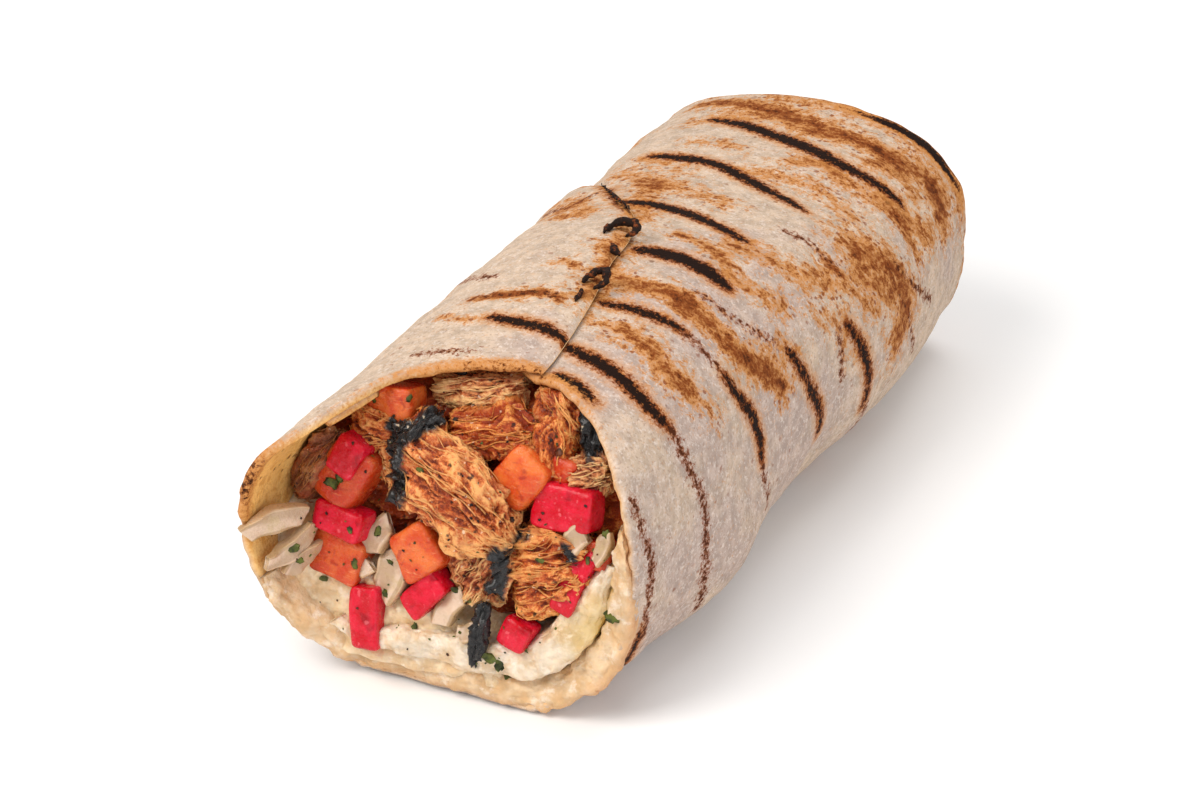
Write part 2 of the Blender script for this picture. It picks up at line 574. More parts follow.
def breadSkin(inward):
    # Rows from the mouth along the side, round the far edge and in over the pinched end. A point's
    # depth grows by one layer pitch for each turn of the spiral.
    grid = breadGrid
    columns = grid["flapColumns"] + grid["steadyColumns"] + grid["tailColumns"] + 1
    straight = roll["length"] - roll["endRadius"]
    step = np.linspace(0, 1, grid["sideRows"])[:, None]
    step = grid["frontCrowding"] * step**2 + (1 - grid["frontCrowding"]) * step
    station = np.repeat(straight * step, columns, axis=1)
    for _ in range(12):
        station = mouthEdge(breadColumns(station)) * (1 - step) + straight * step
    end = np.full((1, columns), straight)

    def skinDepth(y, phi):
        away = (phi - alongEdge(y, "flapEdge")) * grid["mmPerDegree"]
        thick = roll["edgeSheet"] + (roll["sheet"] - roll["edgeSheet"]) * rise(away, 0.0, grid["edgeReach"])
        nose = np.sqrt(np.clip(1 - (1 - np.clip(away / grid["edgeRound"], 0, 1)) ** 2, 0.02, 1))
        depth = roll["layerPitch"] * (phi - alongEdge(y, "flapEdge")) / 360.0
        if inward:
            return depth + roll["sheet"] - grid["innerRound"] * (1 - nose)
        return depth + roll["sheet"] - thick * nose

    phi = breadColumns(station)
    depth = skinDepth(station, phi)
    ragged = sum(height * smoothNoise(np.stack([phi / size, 0 * phi, 0 * phi], axis=-1), seed)
                 for size, height, seed in grid["ragged"])
    puff = breadUneven(phi, station) * rise(station - mouthEdge(phi), -1.0, 6.0)
    over = roll["sheet"] if inward else 0.0
    station = station + ragged * (1 - rise(station - mouthEdge(phi), 0.0, grid["raggedReach"]))
    side = sectionPoint(phi, station, depth - puff, over)
    endPhi = breadColumns(end)
    endDepth = skinDepth(end, endPhi) - breadUneven(endPhi, end)
    turn = np.linspace(0, 0.5 * math.pi, grid["roundRows"] + 1)[1:, None]
    curl = (roll["endRadius"] - endDepth) * (1 - np.cos(turn))
    rounded = sectionPoint(endPhi, straight + (roll["endRadius"] - endDepth) * np.sin(turn), endDepth,
                           over, curl)
    t = np.linspace(0, 1, grid["capRows"] + 1)[1:, None]
    inset = roll["endRadius"] + t * (roll["halfHeight"][-1] - roll["endRadius"] - grid["pinch"])
    pleat = roll["pleatDepth"] * np.sin(math.pi * t) * np.cos(np.radians(roll["pleats"] * endPhi))
    fold = smoothNoise(np.stack([endPhi / 11 + 0 * t, 0.8 * t + 0 * endPhi, 0 * t * endPhi], axis=-1), 77)
    pleat = pleat - grid["fold"] * np.sin(math.pi * t) ** 0.7 * (1 - np.abs(fold) * 2.2)
    capY = roll["length"] - endDepth - roll["endDimple"] * t**2 + pleat
    capped = sectionPoint(endPhi, capY, 0.0, over, inset)
    across = capped[..., 0]
    waves = sum(height * np.sin(across / size + start) for size, height, start in grid["slitWaves"])
    capped[..., 2] += t**3 * waves
    place = np.concatenate([side, rounded, capped])
    rowsLeft = len(rounded) + len(capped)
    angles = np.concatenate([phi, np.repeat(endPhi, rowsLeft, axis=0)])
    stations = np.concatenate([station, np.repeat(end, rowsLeft, axis=0) + np.arange(rowsLeft)[:, None]])
    return place, angles, stations


def makeBreadMaterial():
    # Floury sheet in clouds, browned streaks that run across the roll, freckles, then black marks.
    look = breadLook
    material, tree, shader = newMaterial("sajBread", **{"Specular IOR Level": 0.10})
    place = millimetres(tree)
    grain = useGroup(tree, grainGroup, {"Vector": place, "Fine size": 0.55, "Coarse size": 2.6,
                                        "Coarse share": 0.55})
    wide = cloud(tree, place, 0.07, 2.0)
    warm = between(tree, timesPlus(tree, valueOf(tree, "warm"), 0.35, wide), 0.42, 0.72)
    colour = mixed(tree, warm, look["flour"], look["cream"])
    colour = shaded(tree, colour, between(tree, grain["Coarse"], 0.30, 0.70, 0.78, 1.08))
    dusty = between(tree, cloud(tree, place, 1.1, 4.0, 0.75), 0.50, 0.66)
    colour = mixed(tree, times(tree, dusty, 0.72), colour, look["dusty"])
    pit = between(tree, grain["Fine"], 0.46, 0.30)
    colour = mixed(tree, times(tree, pit, 0.65), colour, look["damp"])

    # streaks: noise stretched round the roll
    sheet = put(tree, "ShaderNodeUVMap", uv_map="sheet").outputs[0]
    stretched = put(tree, "ShaderNodeMapping", {"Vector": sheet, "Scale": (70.0, 190.0, 1.0)}).outputs[0]
    streak = cloud(tree, stretched, 1.0, 5.0, 0.62, 0.5)
    blotch = cloud(tree, place, 0.55, 5.0, 0.68, 0.4)
    both = timesPlus(tree, streak, 0.38, times(tree, blotch, 0.62))
    stipple = timesPlus(tree, cloud(tree, place, 1.9, 3.0, 0.75), 0.44, both)
    uneven = sums(tree, "SUBTRACT", stipple, 0.72)
    toast = valueOf(tree, "toast")
    patchy = timesPlus(tree, uneven, 5.0, toast)
    few = freckled(tree, place, 2.1, 0.23, 0.60)
    many = freckled(tree, place, 1.35, 0.34, 0.72)
    tiny = freckled(tree, place, 0.9, 0.34, 0.45)
    quiet = between(tree, cloud(tree, place, 0.16, 2.0), 0.36, 0.56)
    colour = mixed(tree, times(tree, times(tree, few, quiet), 0.55), colour, look["brown"])
    colour = mixed(tree, times(tree, tiny, 0.22), colour, look["golden"])
    busy = between(tree, toast, 0.08, 0.34)
    touched = between(tree, toast, 0.02, 0.12)
    soft = timesPlus(tree, sums(tree, "SUBTRACT", blotch, 0.5), 1.6, toast)
    colour = mixed(tree, between(tree, soft, 0.22, 0.80, 0.0, 0.78), colour, look["golden"])
    golden = times(tree, between(tree, patchy, 0.18, 0.66, 0.0, 0.80), touched)
    colour = mixed(tree, golden, colour, look["golden"])
    colour = mixed(tree, times(tree, times(tree, many, busy), 0.8), colour, look["brown"])
    brown = times(tree, between(tree, patchy, 0.58, 1.25, 0.0, 0.92), touched)
    colour = mixed(tree, brown, colour, look["brown"])
    colour = mixed(tree, between(tree, soft, 0.62, 1.20, 0.0, 0.80), colour, look["brown"])
    colour = mixed(tree, between(tree, soft, 1.00, 1.45, 0.0, 0.60), colour, look["darkBrown"])
    deep = times(tree, between(tree, patchy, 1.15, 1.75, 0.0, 0.9), touched)
    colour = mixed(tree, deep, colour, look["darkBrown"])

    edgeNoise = sums(tree, "SUBTRACT", cloud(tree, place, 1.15, 5.0, 0.80), 0.5)
    near = between(tree, valueOf(tree, "marks"), 4.5, 0.8)
    spatter = times(tree, times(tree, few, near), 0.9)
    colour = mixed(tree, spatter, colour, look["darkBrown"])
    ragged = timesPlus(tree, edgeNoise, 6.0, valueOf(tree, "marks"))
    glow = times(tree, between(tree, ragged, 3.4, 0.4), between(tree, blotch, 0.36, 0.62, 0.45, 0.95))
    colour = mixed(tree, glow, colour, look["golden"])
    colour = mixed(tree, between(tree, ragged, 1.60, 0.30, 0.0, 1.0), colour, look["brown"])
    burnt = between(tree, ragged, 0.36, 0.02)
    dotNoise = sums(tree, "SUBTRACT", cloud(tree, place, 0.95, 4.0, 0.75), 0.5)
    dotted = timesPlus(tree, dotNoise, 8.0, valueOf(tree, "dots"))
    colour = mixed(tree, between(tree, dotted, 0.7, -0.2, 0.0, 0.85), colour, look["brown"])
    colour = mixed(tree, between(tree, dotted, -0.25, -0.6, 0.0, 0.95), colour, look["darkBrown"])
    inside = mixed(tree, valueOf(tree, "oil"), look["inside"], look["oily"])
    inside = mixed(tree, between(tree, blotch, 0.56, 0.36, 0.0, 0.75), inside, look["oilyDeep"])
    inside = mixed(tree, times(tree, few, 0.9), inside, look["brown"])
    innerFace = valueOf(tree, "inner")
    colour = mixed(tree, innerFace, colour, inside)
    rim = valueOf(tree, "rim")
    colour = mixed(tree, between(tree, rim, 0.05, 0.80, 0.0, 0.55), colour, look["golden"])
    rim = timesPlus(tree, edgeNoise, 3.2, rim)
    colour = mixed(tree, between(tree, rim, 0.25, 0.75, 0.0, 0.85), colour, look["golden"])
    colour = mixed(tree, between(tree, rim, 0.80, 1.15, 0.0, 0.9), colour, look["brown"])
    scorched = between(tree, rim, 1.12, 1.35)
    dark = sums(tree, "MAXIMUM", burnt, scorched)
    colour = mixed(tree, dark, colour, look["char"])
    tree.links.new(colour, shader.inputs["Base Color"])
    wet = times(tree, innerFace, valueOf(tree, "oil"))
    rough = between(tree, wet, 0.0, 1.0, 0.86, 0.30)
    tree.links.new(timesPlus(tree, dark, -0.1, rough), shader.inputs["Roughness"])
    height = timesPlus(tree, dark, -0.55, grain["Height"])
    height = timesPlus(tree, between(tree, patchy, 0.5, 1.2), -0.15, height)
    bump(tree, shader, height, 0.6, 0.75)
    return material


def closedSheet(outer, inner):
    # Both skins and the rounded lip as one closed loop of rows, with its two long edges shut.
    rows, columns = outer.shape[:2]
    t = np.linspace(0, 1, breadGrid["lipRows"] + 2)[1:-1, None, None]
    bulge = np.sin(math.pi * t) * [0.0, -breadGrid["lipBulge"], 0.0]
    lip = inner[0] * (1 - t) + outer[0] * t + bulge          # from the inner skin out to the outer one
    loop = np.concatenate([outer, inner[::-1], lip])
    faces = [gridFaces(len(loop), columns, wrapRows=True)]
    out, back = np.arange(rows - 1), 2 * rows - 1 - np.arange(rows - 1)
    edge = np.concatenate([[2 * rows - 1], np.arange(2 * rows, len(loop)), [0]])
    for column in (0, columns - 1):
        strip = np.stack([out, out + 1, back - 1, back], axis=-1) * columns + column
        fan = fanFaces(edge * columns + column, edge[0] * columns + column)[1:-1]
        faces += [strip[:, ::-1], fan[:, ::-1]] if column else [strip, fan]
    return loop.reshape(-1, 3), faces


def lineStrength(line, gap):
    # strength * e^(-(gap / reach)^2)
    return line["strength"] * np.exp(-(gap / line["reach"]) ** 2)


def lipStrength(phi):
    # How scorched the lip is at each angle: its left side and its top.
    b = breadTone
    return [b[side]["strength"] * around(phi, *b[side]["around"]) for side in ("leftLip", "topLip")]


def outerFields(outside, phi, stations):
    # On the outer skin: gaps to black and dotted marks (mm), toast, warmth and scorched edges.
    b = breadTone
    turned = phi - alongEdge(stations, "flapEdge")
    firstTurn = rise(turned, *b["turnEnds"]).ravel()
    marks, dots = np.full(len(outside), b["farOff"]), np.full(len(outside), b["farOff"])
    toast = np.zeros(len(outside))
    for width, path in breadMarks["width"]:
        marks = np.minimum(marks, bandGap(outside, b["markShare"] * width, path))
    for width, path in breadMarks["dotted"]:
        dots = np.minimum(dots, bandGap(outside, width, path, False))
    for width, strength, path in breadMarks["toasted"]:
        gap = np.maximum(bandGap(outside, 0.0, path), 0)
        near, far = np.exp(-(gap / width) ** 2), np.exp(-(gap / (b["farReach"] * width)) ** 2)
        toast = toast + strength * (b["near"] * near + b["far"] * far) * (1 - b["overlap"] * toast)
    marks, dots = (field * firstTurn + b["farOff"] * (1 - firstTurn) for field in (marks, dots))
    toast = (toast * firstTurn).reshape(phi.shape)
    # the far rim and the flap's free edge are toasted too
    patches = (0.5 + 0.9 * smoothNoise(outside / b["patchSize"], 71)).reshape(phi.shape)
    atFlap = b["flapToast"] * (1 - rise(turned, *b["flapReach"])) * rise(stations, *b["flapFrom"])
    toast = np.maximum(toast, b["farBandToast"] * plateau(stations, *b["farBand"]))
    toast = np.maximum(toast, b["patchToast"] * patches * rise(stations, *b["patchFrom"]))
    toast = np.maximum(toast, atFlap)
    warm = around(phi, *b["warmAt"]) + 0.5 * rise(stations, *b["warmFrom"])
    # scorched: the far edge's line, the flap's edge past its corner, and the lip
    farLine = lineStrength(b["farLine"], stations - b["farLine"]["y"]) * around(phi, *b["farLine"]["around"])
    flapLine = lineStrength(b["flapLine"], turned - b["flapLine"]["offset"])
    flapLine = flapLine * plateau(stations, *b["flapLine"]["along"])
    edgeFade = 1 - rise(stations - mouthEdge(phi), 0.0, b["lipFade"]["outside"])
    rim = np.maximum(np.maximum(farLine, flapLine), edgeFade * np.maximum(*lipStrength(phi)))
    return {"marks": marks, "dots": dots, "toast": toast, "warm": warm, "rim": rim}


def innerFields(phi, stations, lipRows):
    # On the inner skin and the lip, which fades to the outer skin: oil, inner face, scorched rim.
    b = breadTone
    rows = len(phi)
    phi = np.concatenate([phi[::-1], np.repeat(phi[:1], lipRows, axis=0)])
    stations = np.concatenate([stations[::-1], np.repeat(stations[:1], lipRows, axis=0)])
    fromLip = stations - mouthEdge(phi)
    oil = around(phi, *b["oilAround"]) * (1 - rise(fromLip, *b["oilFrom"]))
    lipShare = np.concatenate([np.ones(rows), np.linspace(0.9, 0.0, lipRows)])[:, None]
    left, top = lipStrength(phi)
    rim = np.maximum(left * (1 - rise(fromLip, 0.0, b["lipFade"]["left"])),
                     top * (1 - rise(fromLip, 0.0, b["lipFade"]["top"])))
    return {"oil": oil, "inner": lipShare * np.ones(phi.shape), "rim": rim}


def makeBread():
    # Outer skin, inner skin and lip as one piece, with the values that its material reads.
    outer, phi, stations = breadSkin(False)
    inner, _, _ = breadSkin(True)
    points, faces = closedSheet(outer, inner)
    lipRows = breadGrid["lipRows"]
    front = outerFields(outer.reshape(-1, 3), phi, stations)
    back = innerFields(phi, stations, lipRows)
    rest = len(points) - phi.size
    plain = {"marks": breadTone["farOff"], "dots": breadTone["farOff"]}
    values = {}
    for key in ("marks", "dots", "toast", "warm", "oil", "inner", "rim"):
        onOuter = front.get(key, np.zeros(phi.size))
        onInner = back.get(key, np.full(rest, plain.get(key, 0.0)))
        values[key] = np.concatenate([onOuter.ravel(), onInner.ravel()])
    uv = np.stack([breadGrid["mmPerDegree"] * phi, stations], axis=-1) / breadTone["sheetSize"]
    uv = np.concatenate([uv, uv[::-1], np.repeat(uv[:1], lipRows, axis=0)])
    makePiece("sajFlatbread", points, faces, makeBreadMaterial(), ["flatbread"], values, uv)


makeBread()


spreads = {
    "hummusSpan": (196.0, 384.0), "hummusThick": 4.6,
    "sauceSpan": (222.0, 366.0), "sauceThick": 5.4,
    "endShare": 0.35, "fade": 34.0, "layerGap": 1.0, "wallGap": 0.7,
    "columns": 190, "rows": 96, "runsBackTo": 60.0,
    "hummusLump": 0.95, "hummusLumpSize": 3.0, "sauceLump": 1.0, "sauceLumpSize": 4.2,
    "hummusCovers": (200, 214, 346, 374),             # angles between which the bread's lip is hidden
}


def spreadThickness(phi, span, greatest):
    # The end share of the greatest thickness at both ends, the whole of it between the fades.
    share = plateau(phi, span[0], span[0] + spreads["fade"], span[1] - spreads["fade"], span[1])
    return greatest * (spreads["endShare"] + (1 - spreads["endShare"]) * share)


def lumpy(points, amount, weight, size, seed, wrapRows=True):
    # Every point pushed out along its normal by layered noise, as spooned paste stands.
    normal = gridNormals(points, wrapRows=wrapRows)
    height = cloudNoise(points / size, seed) + 0.60 * np.abs(cloudNoise(points / (0.4 * size), seed + 7))
    return points + normal * (amount * height * weight)[..., None]


def profileSurface(phi, knots, share, weight, lump, size, seed):
    # A closed profile of (depth, y) knots for every angle, carried round the roll.
    knotShare = np.linspace(0, 1, len(knots))
    depth, y = (np.stack([curve(share, knotShare, column) for column in
                          np.stack([np.broadcast_to(knot[part], phi.shape) for knot in knots], -1)], -1)
                for part in (0, 1))
    angle = np.broadcast_to(phi, depth.shape)
    points = sectionPoint(angle, y, depth, np.clip(depth, 0.0, None) * 0.9)
    front = np.interp(share, np.linspace(0, 1, len(share)), weight)[:, None]
    return lumpy(points, lump, front * np.ones(angle.shape), size, seed), angle


def closeEnds(points):
    # The two end profiles of a swept loop are shut with a fan to their middle points.
    rows, columns = points.shape[:2]
    flat = points.reshape(-1, 3)
    ends = []
    for number, column in enumerate((0, columns - 1)):
        ring = np.arange(rows) * columns + column
        flat = np.concatenate([flat, points[:, column].mean(axis=0)[None]])
        ends.append(fanFaces(ring, rows * columns + number, flip=not number))
    return flat, [gridFaces(rows, columns, wrapRows=True), *ends]


pastes = {
    "hummusPaste": {"light": colourOf(222, 192, 154), "dark": colourOf(210, 170, 122),
                    "bits": colourOf(206, 164, 116), "rough": 0.5, "bitShare": 0.5},
    "garlicSauce": {"light": colourOf(228, 210, 186), "dark": colourOf(210, 180, 142),
                    "bits": colourOf(242, 234, 222), "rough": 0.34, "bitShare": 0.3},
    "creamyMix": {"light": colourOf(232, 208, 172), "dark": colourOf(216, 182, 138),
                  "bits": colourOf(244, 232, 212), "rough": 0.42, "bitShare": 0.5},
}
pasteTints = {"baked": colourOf(196, 138, 84), "spots": colourOf(150, 86, 40),
              "milky": colourOf(240, 228, 212), "oil": colourOf(206, 168, 66), "wetRough": 0.16}


def pasteMaterial(name):
    # Creamy paste: two close tones in clouds, oil stains, fine grains and a soft wet sheen.
    look = pastes[name]
    material, tree, shader = newMaterial(name, **{
        "Subsurface Weight": 0.25, "Subsurface Radius": (1.0, 0.7, 0.4), "Subsurface Scale": 0.0012,
        "Specular IOR Level": 0.45, "Coat Roughness": 0.22})
    place = millimetres(tree)
    grain = useGroup(tree, grainGroup, {"Vector": place, "Fine size": 0.5, "Coarse size": 3.2,
                                        "Coarse share": 0.5})
    colour = mixed(tree, between(tree, grain["Coarse"], 0.36, 0.64), look["dark"], look["light"])
    colour = shaded(tree, colour, between(tree, cloud(tree, place, 0.22, 3.0, 0.6), 0.34, 0.66, 0.86, 1.06))
    bits = freckled(tree, place, 1.7, 0.30, 0.30)
    colour = mixed(tree, times(tree, bits, look["bitShare"]), colour, look["bits"])
    mottled = between(tree, grain["Coarse"], 0.30, 0.6, 0.3, 1.0)
    baked = times(tree, valueOf(tree, "baked"), mottled)
    colour = mixed(tree, baked, colour, pasteTints["baked"])
    spots = freckled(tree, place, 2.5, 0.22, 0.40)
    spotted = times(tree, times(tree, spots, valueOf(tree, "baked")), 0.75)
    colour = mixed(tree, spotted, colour, pasteTints["spots"])
    milky = between(tree, cloud(tree, place, 0.34, 4.0, 0.65), 0.52, 0.68, 0.0, 0.55)
    milky = times(tree, milky, sums(tree, "SUBTRACT", 1.0, valueOf(tree, "baked"), clamp=True))
    colour = mixed(tree, milky, colour, pasteTints["milky"])
    oil = valueOf(tree, "oil")
    colour = mixed(tree, times(tree, oil, 0.85), colour, pasteTints["oil"])
    tree.links.new(colour, shader.inputs["Base Color"])
    dull, wet = ((rough, rough, rough, 1) for rough in (look["rough"], pasteTints["wetRough"]))
    tree.links.new(mixed(tree, oil, dull, wet), shader.inputs["Roughness"])
    tree.links.new(timesPlus(tree, oil, 0.6, 0.12), shader.inputs["Coat Weight"])
    bump(tree, shader, grain["Height"], 0.6, 0.7)
    return material


def makeHummus():
    # From deep inside along the paste's inner side, round a lumpy nose and over the bread's lip.
    s = spreads
    span = s["hummusSpan"]
    phi = np.linspace(span[0], span[1], s["columns"])
    lip = mouthEdge(phi)
    wall = wallDepth(phi, lip + 1.0)
    outer = wall - roll["sheet"]
    full = plateau(phi, span[0], span[0] + s["fade"], span[1] - 12, span[1])
    thick = s["hummusThick"] * (s["endShare"] + (1 - s["endShare"]) * full)
    covers = plateau(phi, *s["hummusCovers"])
    skin = wall * (1 - covers) + (outer - 0.45) * covers
    inside = np.full(len(phi), s["runsBackTo"])
    # (depth, y): forwards along the paste's face, round its nose, and back under the bread's lip
    knots = [(wall + thick, inside), (wall + thick, lip + 16), (wall + thick * 0.98, lip + 5),
             (wall + thick * 0.86, lip + 1.4), (wall + thick * 0.5, lip - 0.5), (wall + 0.4, lip - 1.0),
             (0.5 * (wall + skin), lip - 1.1), (skin + 0.1, lip - 0.6), (skin, lip + 0.8),
             (skin + 0.5, lip + 2.0), (wall - 0.3, lip + 3.6), (wall + 0.1, lip + 16),
             (wall + 0.1, inside)]
    t = np.linspace(0, 1, s["rows"])
    share = np.interp(t, [0, 0.08, 0.2, 0.8, 0.92, 1], [0, 1 / 12, 2 / 12, 10 / 12, 11 / 12, 1])
    weight = np.interp(share, [0, 0.12, 0.2, 0.7, 0.78, 1], [0, 0.3, 1, 0.9, 0.0, 0])
    points, angle = profileSurface(phi, knots, share, weight, s["hummusLump"], s["hummusLumpSize"], 11)
    baked = np.interp(share, [0, 0.45, 0.52, 0.62, 0.8, 1], [0, 0, 0.35, 0.9, 1, 1])[:, None]
    oil = around(angle, 350, 26) * np.interp(share, [0, 0.1, 0.2, 0.30, 1], [1, 1, 1, 0, 0])[:, None]
    flat, faces = closeEnds(points)
    pad = [0.0, 0.0]
    makePiece("hummusBand", flat, faces, hummusPaste, ["hummus"],
              {"baked": np.concatenate([(baked * np.ones(angle.shape)).ravel(), pad]),
               "oil": np.concatenate([oil.ravel(), pad])})


def makeSauce():
    # A crescent inside the hummus whose front slopes back to the pieces, blotched and glossy.
    s = spreads
    span = s["sauceSpan"]
    phi = np.linspace(span[0], span[1], s["columns"])
    near = wallDepth(phi, mouthEdge(phi) + 2.0)
    onHummus = rise(phi, s["hummusSpan"][0] - 18, s["hummusSpan"][0] - 4)
    start = near + onHummus * spreadThickness(phi, s["hummusSpan"], s["hummusThick"]) - 0.5
    thick = spreadThickness(phi, span, s["sauceThick"]) + 1.6

    def atFace(depth, behind):
        spot = sectionPoint(phi, 9.0 + 0 * phi, depth, 1.6)
        return faceY(spot[:, 0], spot[:, 2]) + behind

    def knot(share, behind):
        return start + thick * share, atFace(start + thick * share, behind)

    inside = np.full(len(phi), s["runsBackTo"])
    knots = [(start + thick, inside), knot(1, 12), knot(1, 3.0), knot(0.9, 0.4), knot(0.6, -0.4),
             knot(0.3, -0.5), (start + 0.2, atFace(start, 0.3)), knot(0, 3), knot(0, 12), (start, inside)]
    t = np.linspace(0, 1, s["rows"])
    share = np.interp(t, [0, 0.08, 0.85, 1], [0, 1 / 9, 7 / 9, 1])
    weight = np.interp(share, [0, 0.2, 0.3, 0.7, 0.8, 1], [0, 0.5, 1, 1, 0.2, 0])
    points, angle = profileSurface(phi, knots, share, weight, s["sauceLump"], s["sauceLumpSize"], 23)
    oil = around(angle, 338, 24) * np.interp(share, [0, 0.5, 0.75, 1], [0.1, 0.5, 1, 1])[:, None]
    flat, faces = closeEnds(points)
    pad = [0.0, 0.0]
    makePiece("garlicSauceBand", flat, faces, saucePaste, ["garlic_sauce"],
              {"baked": np.zeros(len(flat)), "oil": np.concatenate([oil.ravel(), pad])})


hummusPaste = pasteMaterial("hummusPaste")
saucePaste = pasteMaterial("garlicSauce")
makeHummus()
makeSauce()


pileLean = -16.0                                  # the pile of pieces leans back with the face (degrees)


def turnOf(turn, lean=pileLean):
    # The turn of a piece in the face, and its lean back with the face.
    tilt = Euler((math.radians(lean), 0, 0)).to_matrix()
    return np.array(tilt @ Matrix.Rotation(-math.radians(turn), 3, "Y"))


def insideWall(points):
    # Points that would cross the bread are pressed back to its inner skin, unless in front of it.
    shape = points.shape
    points = points.reshape(-1, 3)
    y = np.clip(points[:, 1], 0.0, roll["length"])
    middleX = curve(y, roll["stationY"], roll["driftX"])
    middleZ = curve(y, roll["stationY"], roll["halfHeight"])
    phi = np.degrees(np.arctan2(points[:, 2] - middleZ, points[:, 0] - middleX))
    for _ in range(4):
        wide, high = halfSizes(phi, y)
        depth = wallDepth(phi, y) + 0.15
        ratioX = (points[:, 0] - middleX) / (wide - depth)
        ratioZ = (points[:, 2] - middleZ) / (high - depth)
        phi = np.degrees(np.arctan2(ratioZ, ratioX))
    power = roll["sectionPower"]
    size = (np.abs(ratioX) ** power + np.abs(ratioZ) ** power) ** (1 / power)
    free = points[:, 1] < mouthEdge(np.mod(phi, 360.0)) - 0.7         # in front of the lip
    scale = np.where(free, 1.0, np.minimum(1.0, 1.0 / np.maximum(size, 1e-6)))
    low = np.where(free, -99.0, floorHeight(points[:, 1]) + roll["sheet"] + 0.2)
    return np.stack([middleX + (points[:, 0] - middleX) * scale, points[:, 1],
                     np.maximum(middleZ + (points[:, 2] - middleZ) * scale, low)], axis=-1).reshape(shape)


def ballGrid(rows, columns):
    # Directions from pole to pole along x (rows) and round it (columns), without the poles.
    u = np.linspace(0, math.pi, rows + 2)[1:-1, None]
    v = np.linspace(0, 2 * math.pi, columns, endpoint=False)[None, :]
    return np.stack(np.broadcast_arrays(-np.cos(u), np.sin(u) * np.cos(v), np.sin(u) * np.sin(v)), axis=-1)


def withPoles(grid):
    # A grid's points as one list, then the middle of its first row and of its last row.
    return np.concatenate([grid.reshape(-1, grid.shape[-1]), grid[:1].mean(axis=1), grid[-1:].mean(axis=1)])


def closeBall(grid):
    # Both poles are shut with a fan to the middle of their last ring.
    rows, columns = grid.shape[:2]
    first, last = np.arange(columns), (rows - 1) * columns + np.arange(columns)
    return withPoles(grid), [gridFaces(rows, columns, wrapColumns=True), fanFaces(first, rows * columns),
                             fanFaces(last, rows * columns + 1, flip=True)]


def atPoles(values):
    return np.concatenate([values.ravel(), [values[0].mean(), values[-1].mean()]])


def roundedBlock(half, power, rows, columns):
    # Points of |x/a|^p + |y/b|^p + |z/c|^p = 1 along even directions; a high power is boxier.
    way = ballGrid(rows, columns)
    unit = way / (np.abs(way) ** power).sum(axis=-1, keepdims=True) ** (1.0 / power)
    slope = np.sign(unit) * np.abs(unit) ** (power - 1) / half
    return unit * half, slope / np.linalg.norm(slope, axis=-1, keepdims=True)


def tubeFaces(count, rings, sides):
    # Faces of many alike tubes, each of several rings of sides with a point at both ends.
    quads = gridFaces(rings, sides, wrapColumns=True)
    first = fanFaces(np.arange(sides), rings * sides)
    last = fanFaces((rings - 1) * sides + np.arange(sides), rings * sides + 1, flip=True)
    offset = (np.arange(count) * (rings * sides + 2))[:, None, None]
    return [(part[None] + offset).reshape(-1, part.shape[1]) for part in (quads, first, last)]


def tubes(paths, normals, radius, sides=5):
    # A round profile carried along each path: ring = path + r (cos a * side + sin a * up).
    along = np.gradient(paths, axis=1)
    along /= np.maximum(np.linalg.norm(along, axis=-1, keepdims=True), 1e-9)
    side = np.cross(along, normals)
    side /= np.maximum(np.linalg.norm(side, axis=-1, keepdims=True), 1e-9)
    up = np.cross(side, along)
    a = np.linspace(0, 2 * math.pi, sides, endpoint=False)[:, None]
    ring = np.cos(a) * side[:, :, None] + np.sin(a) * up[:, :, None]
    body = paths[:, :, None] + radius[:, :, None, None] * ring
    count = len(paths)
    first, last = paths[:, 0] - along[:, 0] * radius[:, :1], paths[:, -1] + along[:, -1] * radius[:, -1:]
    tips = np.stack([first, last], 1)
    points = np.concatenate([body.reshape(count, -1, 3), tips], axis=1).reshape(-1, 3)
    return points, tubeFaces(count, paths.shape[1], sides)


def shredsOver(surface, normal, count, length, thick, lift, seed, steps=12):
    # Fibres that wander over a ball-like surface along its length, a little off it at their ends.
    rng = np.random.default_rng(seed)
    rows, columns = surface.shape[:2]
    t = np.linspace(0, 1, steps)[None, :]
    reach = rng.uniform(0.5, 1.0, (count, 1)) * length
    u = rng.uniform(0.06, 0.9, (count, 1)) + (t - 0.5) * reach
    sway = rng.uniform(-0.06, 0.06, (count, 1)) * t + 0.012 * np.sin(t * rng.uniform(4, 11, (count, 1)))
    v = rng.uniform(0, 1, (count, 1)) + sway
    row = np.clip(u, 0.01, 0.99) * (rows - 1)
    column = np.mod(v, 1.0) * columns
    r0, c0 = np.floor(row).astype(int), np.floor(column).astype(int) % columns
    fr, fc = (row - np.floor(row))[..., None], (column - np.floor(column))[..., None]
    r1, c1 = np.minimum(r0 + 1, rows - 1), (c0 + 1) % columns
    path = (surface[r0, c0] * (1 - fr) * (1 - fc) + surface[r1, c0] * fr * (1 - fc)
            + surface[r0, c1] * (1 - fr) * fc + surface[r1, c1] * fr * fc)
    out = normal[r0, c0]
    radius = thick * rng.uniform(0.6, 1.3, (count, 1)) * (0.35 + 0.65 * np.sin(math.pi * t) ** 0.5)
    rising = rng.uniform(-0.2, 1.0, (count, 1)) * lift * (np.abs(2 * t - 1) ** 2.5)
    path = path + out * (0.5 * radius + rising)[..., None]
    return tubes(path, out, radius)


meatLook = {
    "deep": colourOf(112, 36, 8), "roasted": colourOf(206, 92, 28), "light": colourOf(242, 160, 82),
    "pale": colourOf(246, 200, 138), "grey": colourOf(128, 92, 66), "char": colourOf(12, 9, 10),
    "reddish": colourOf(160, 54, 10), "glint": colourOf(255, 232, 200),
}
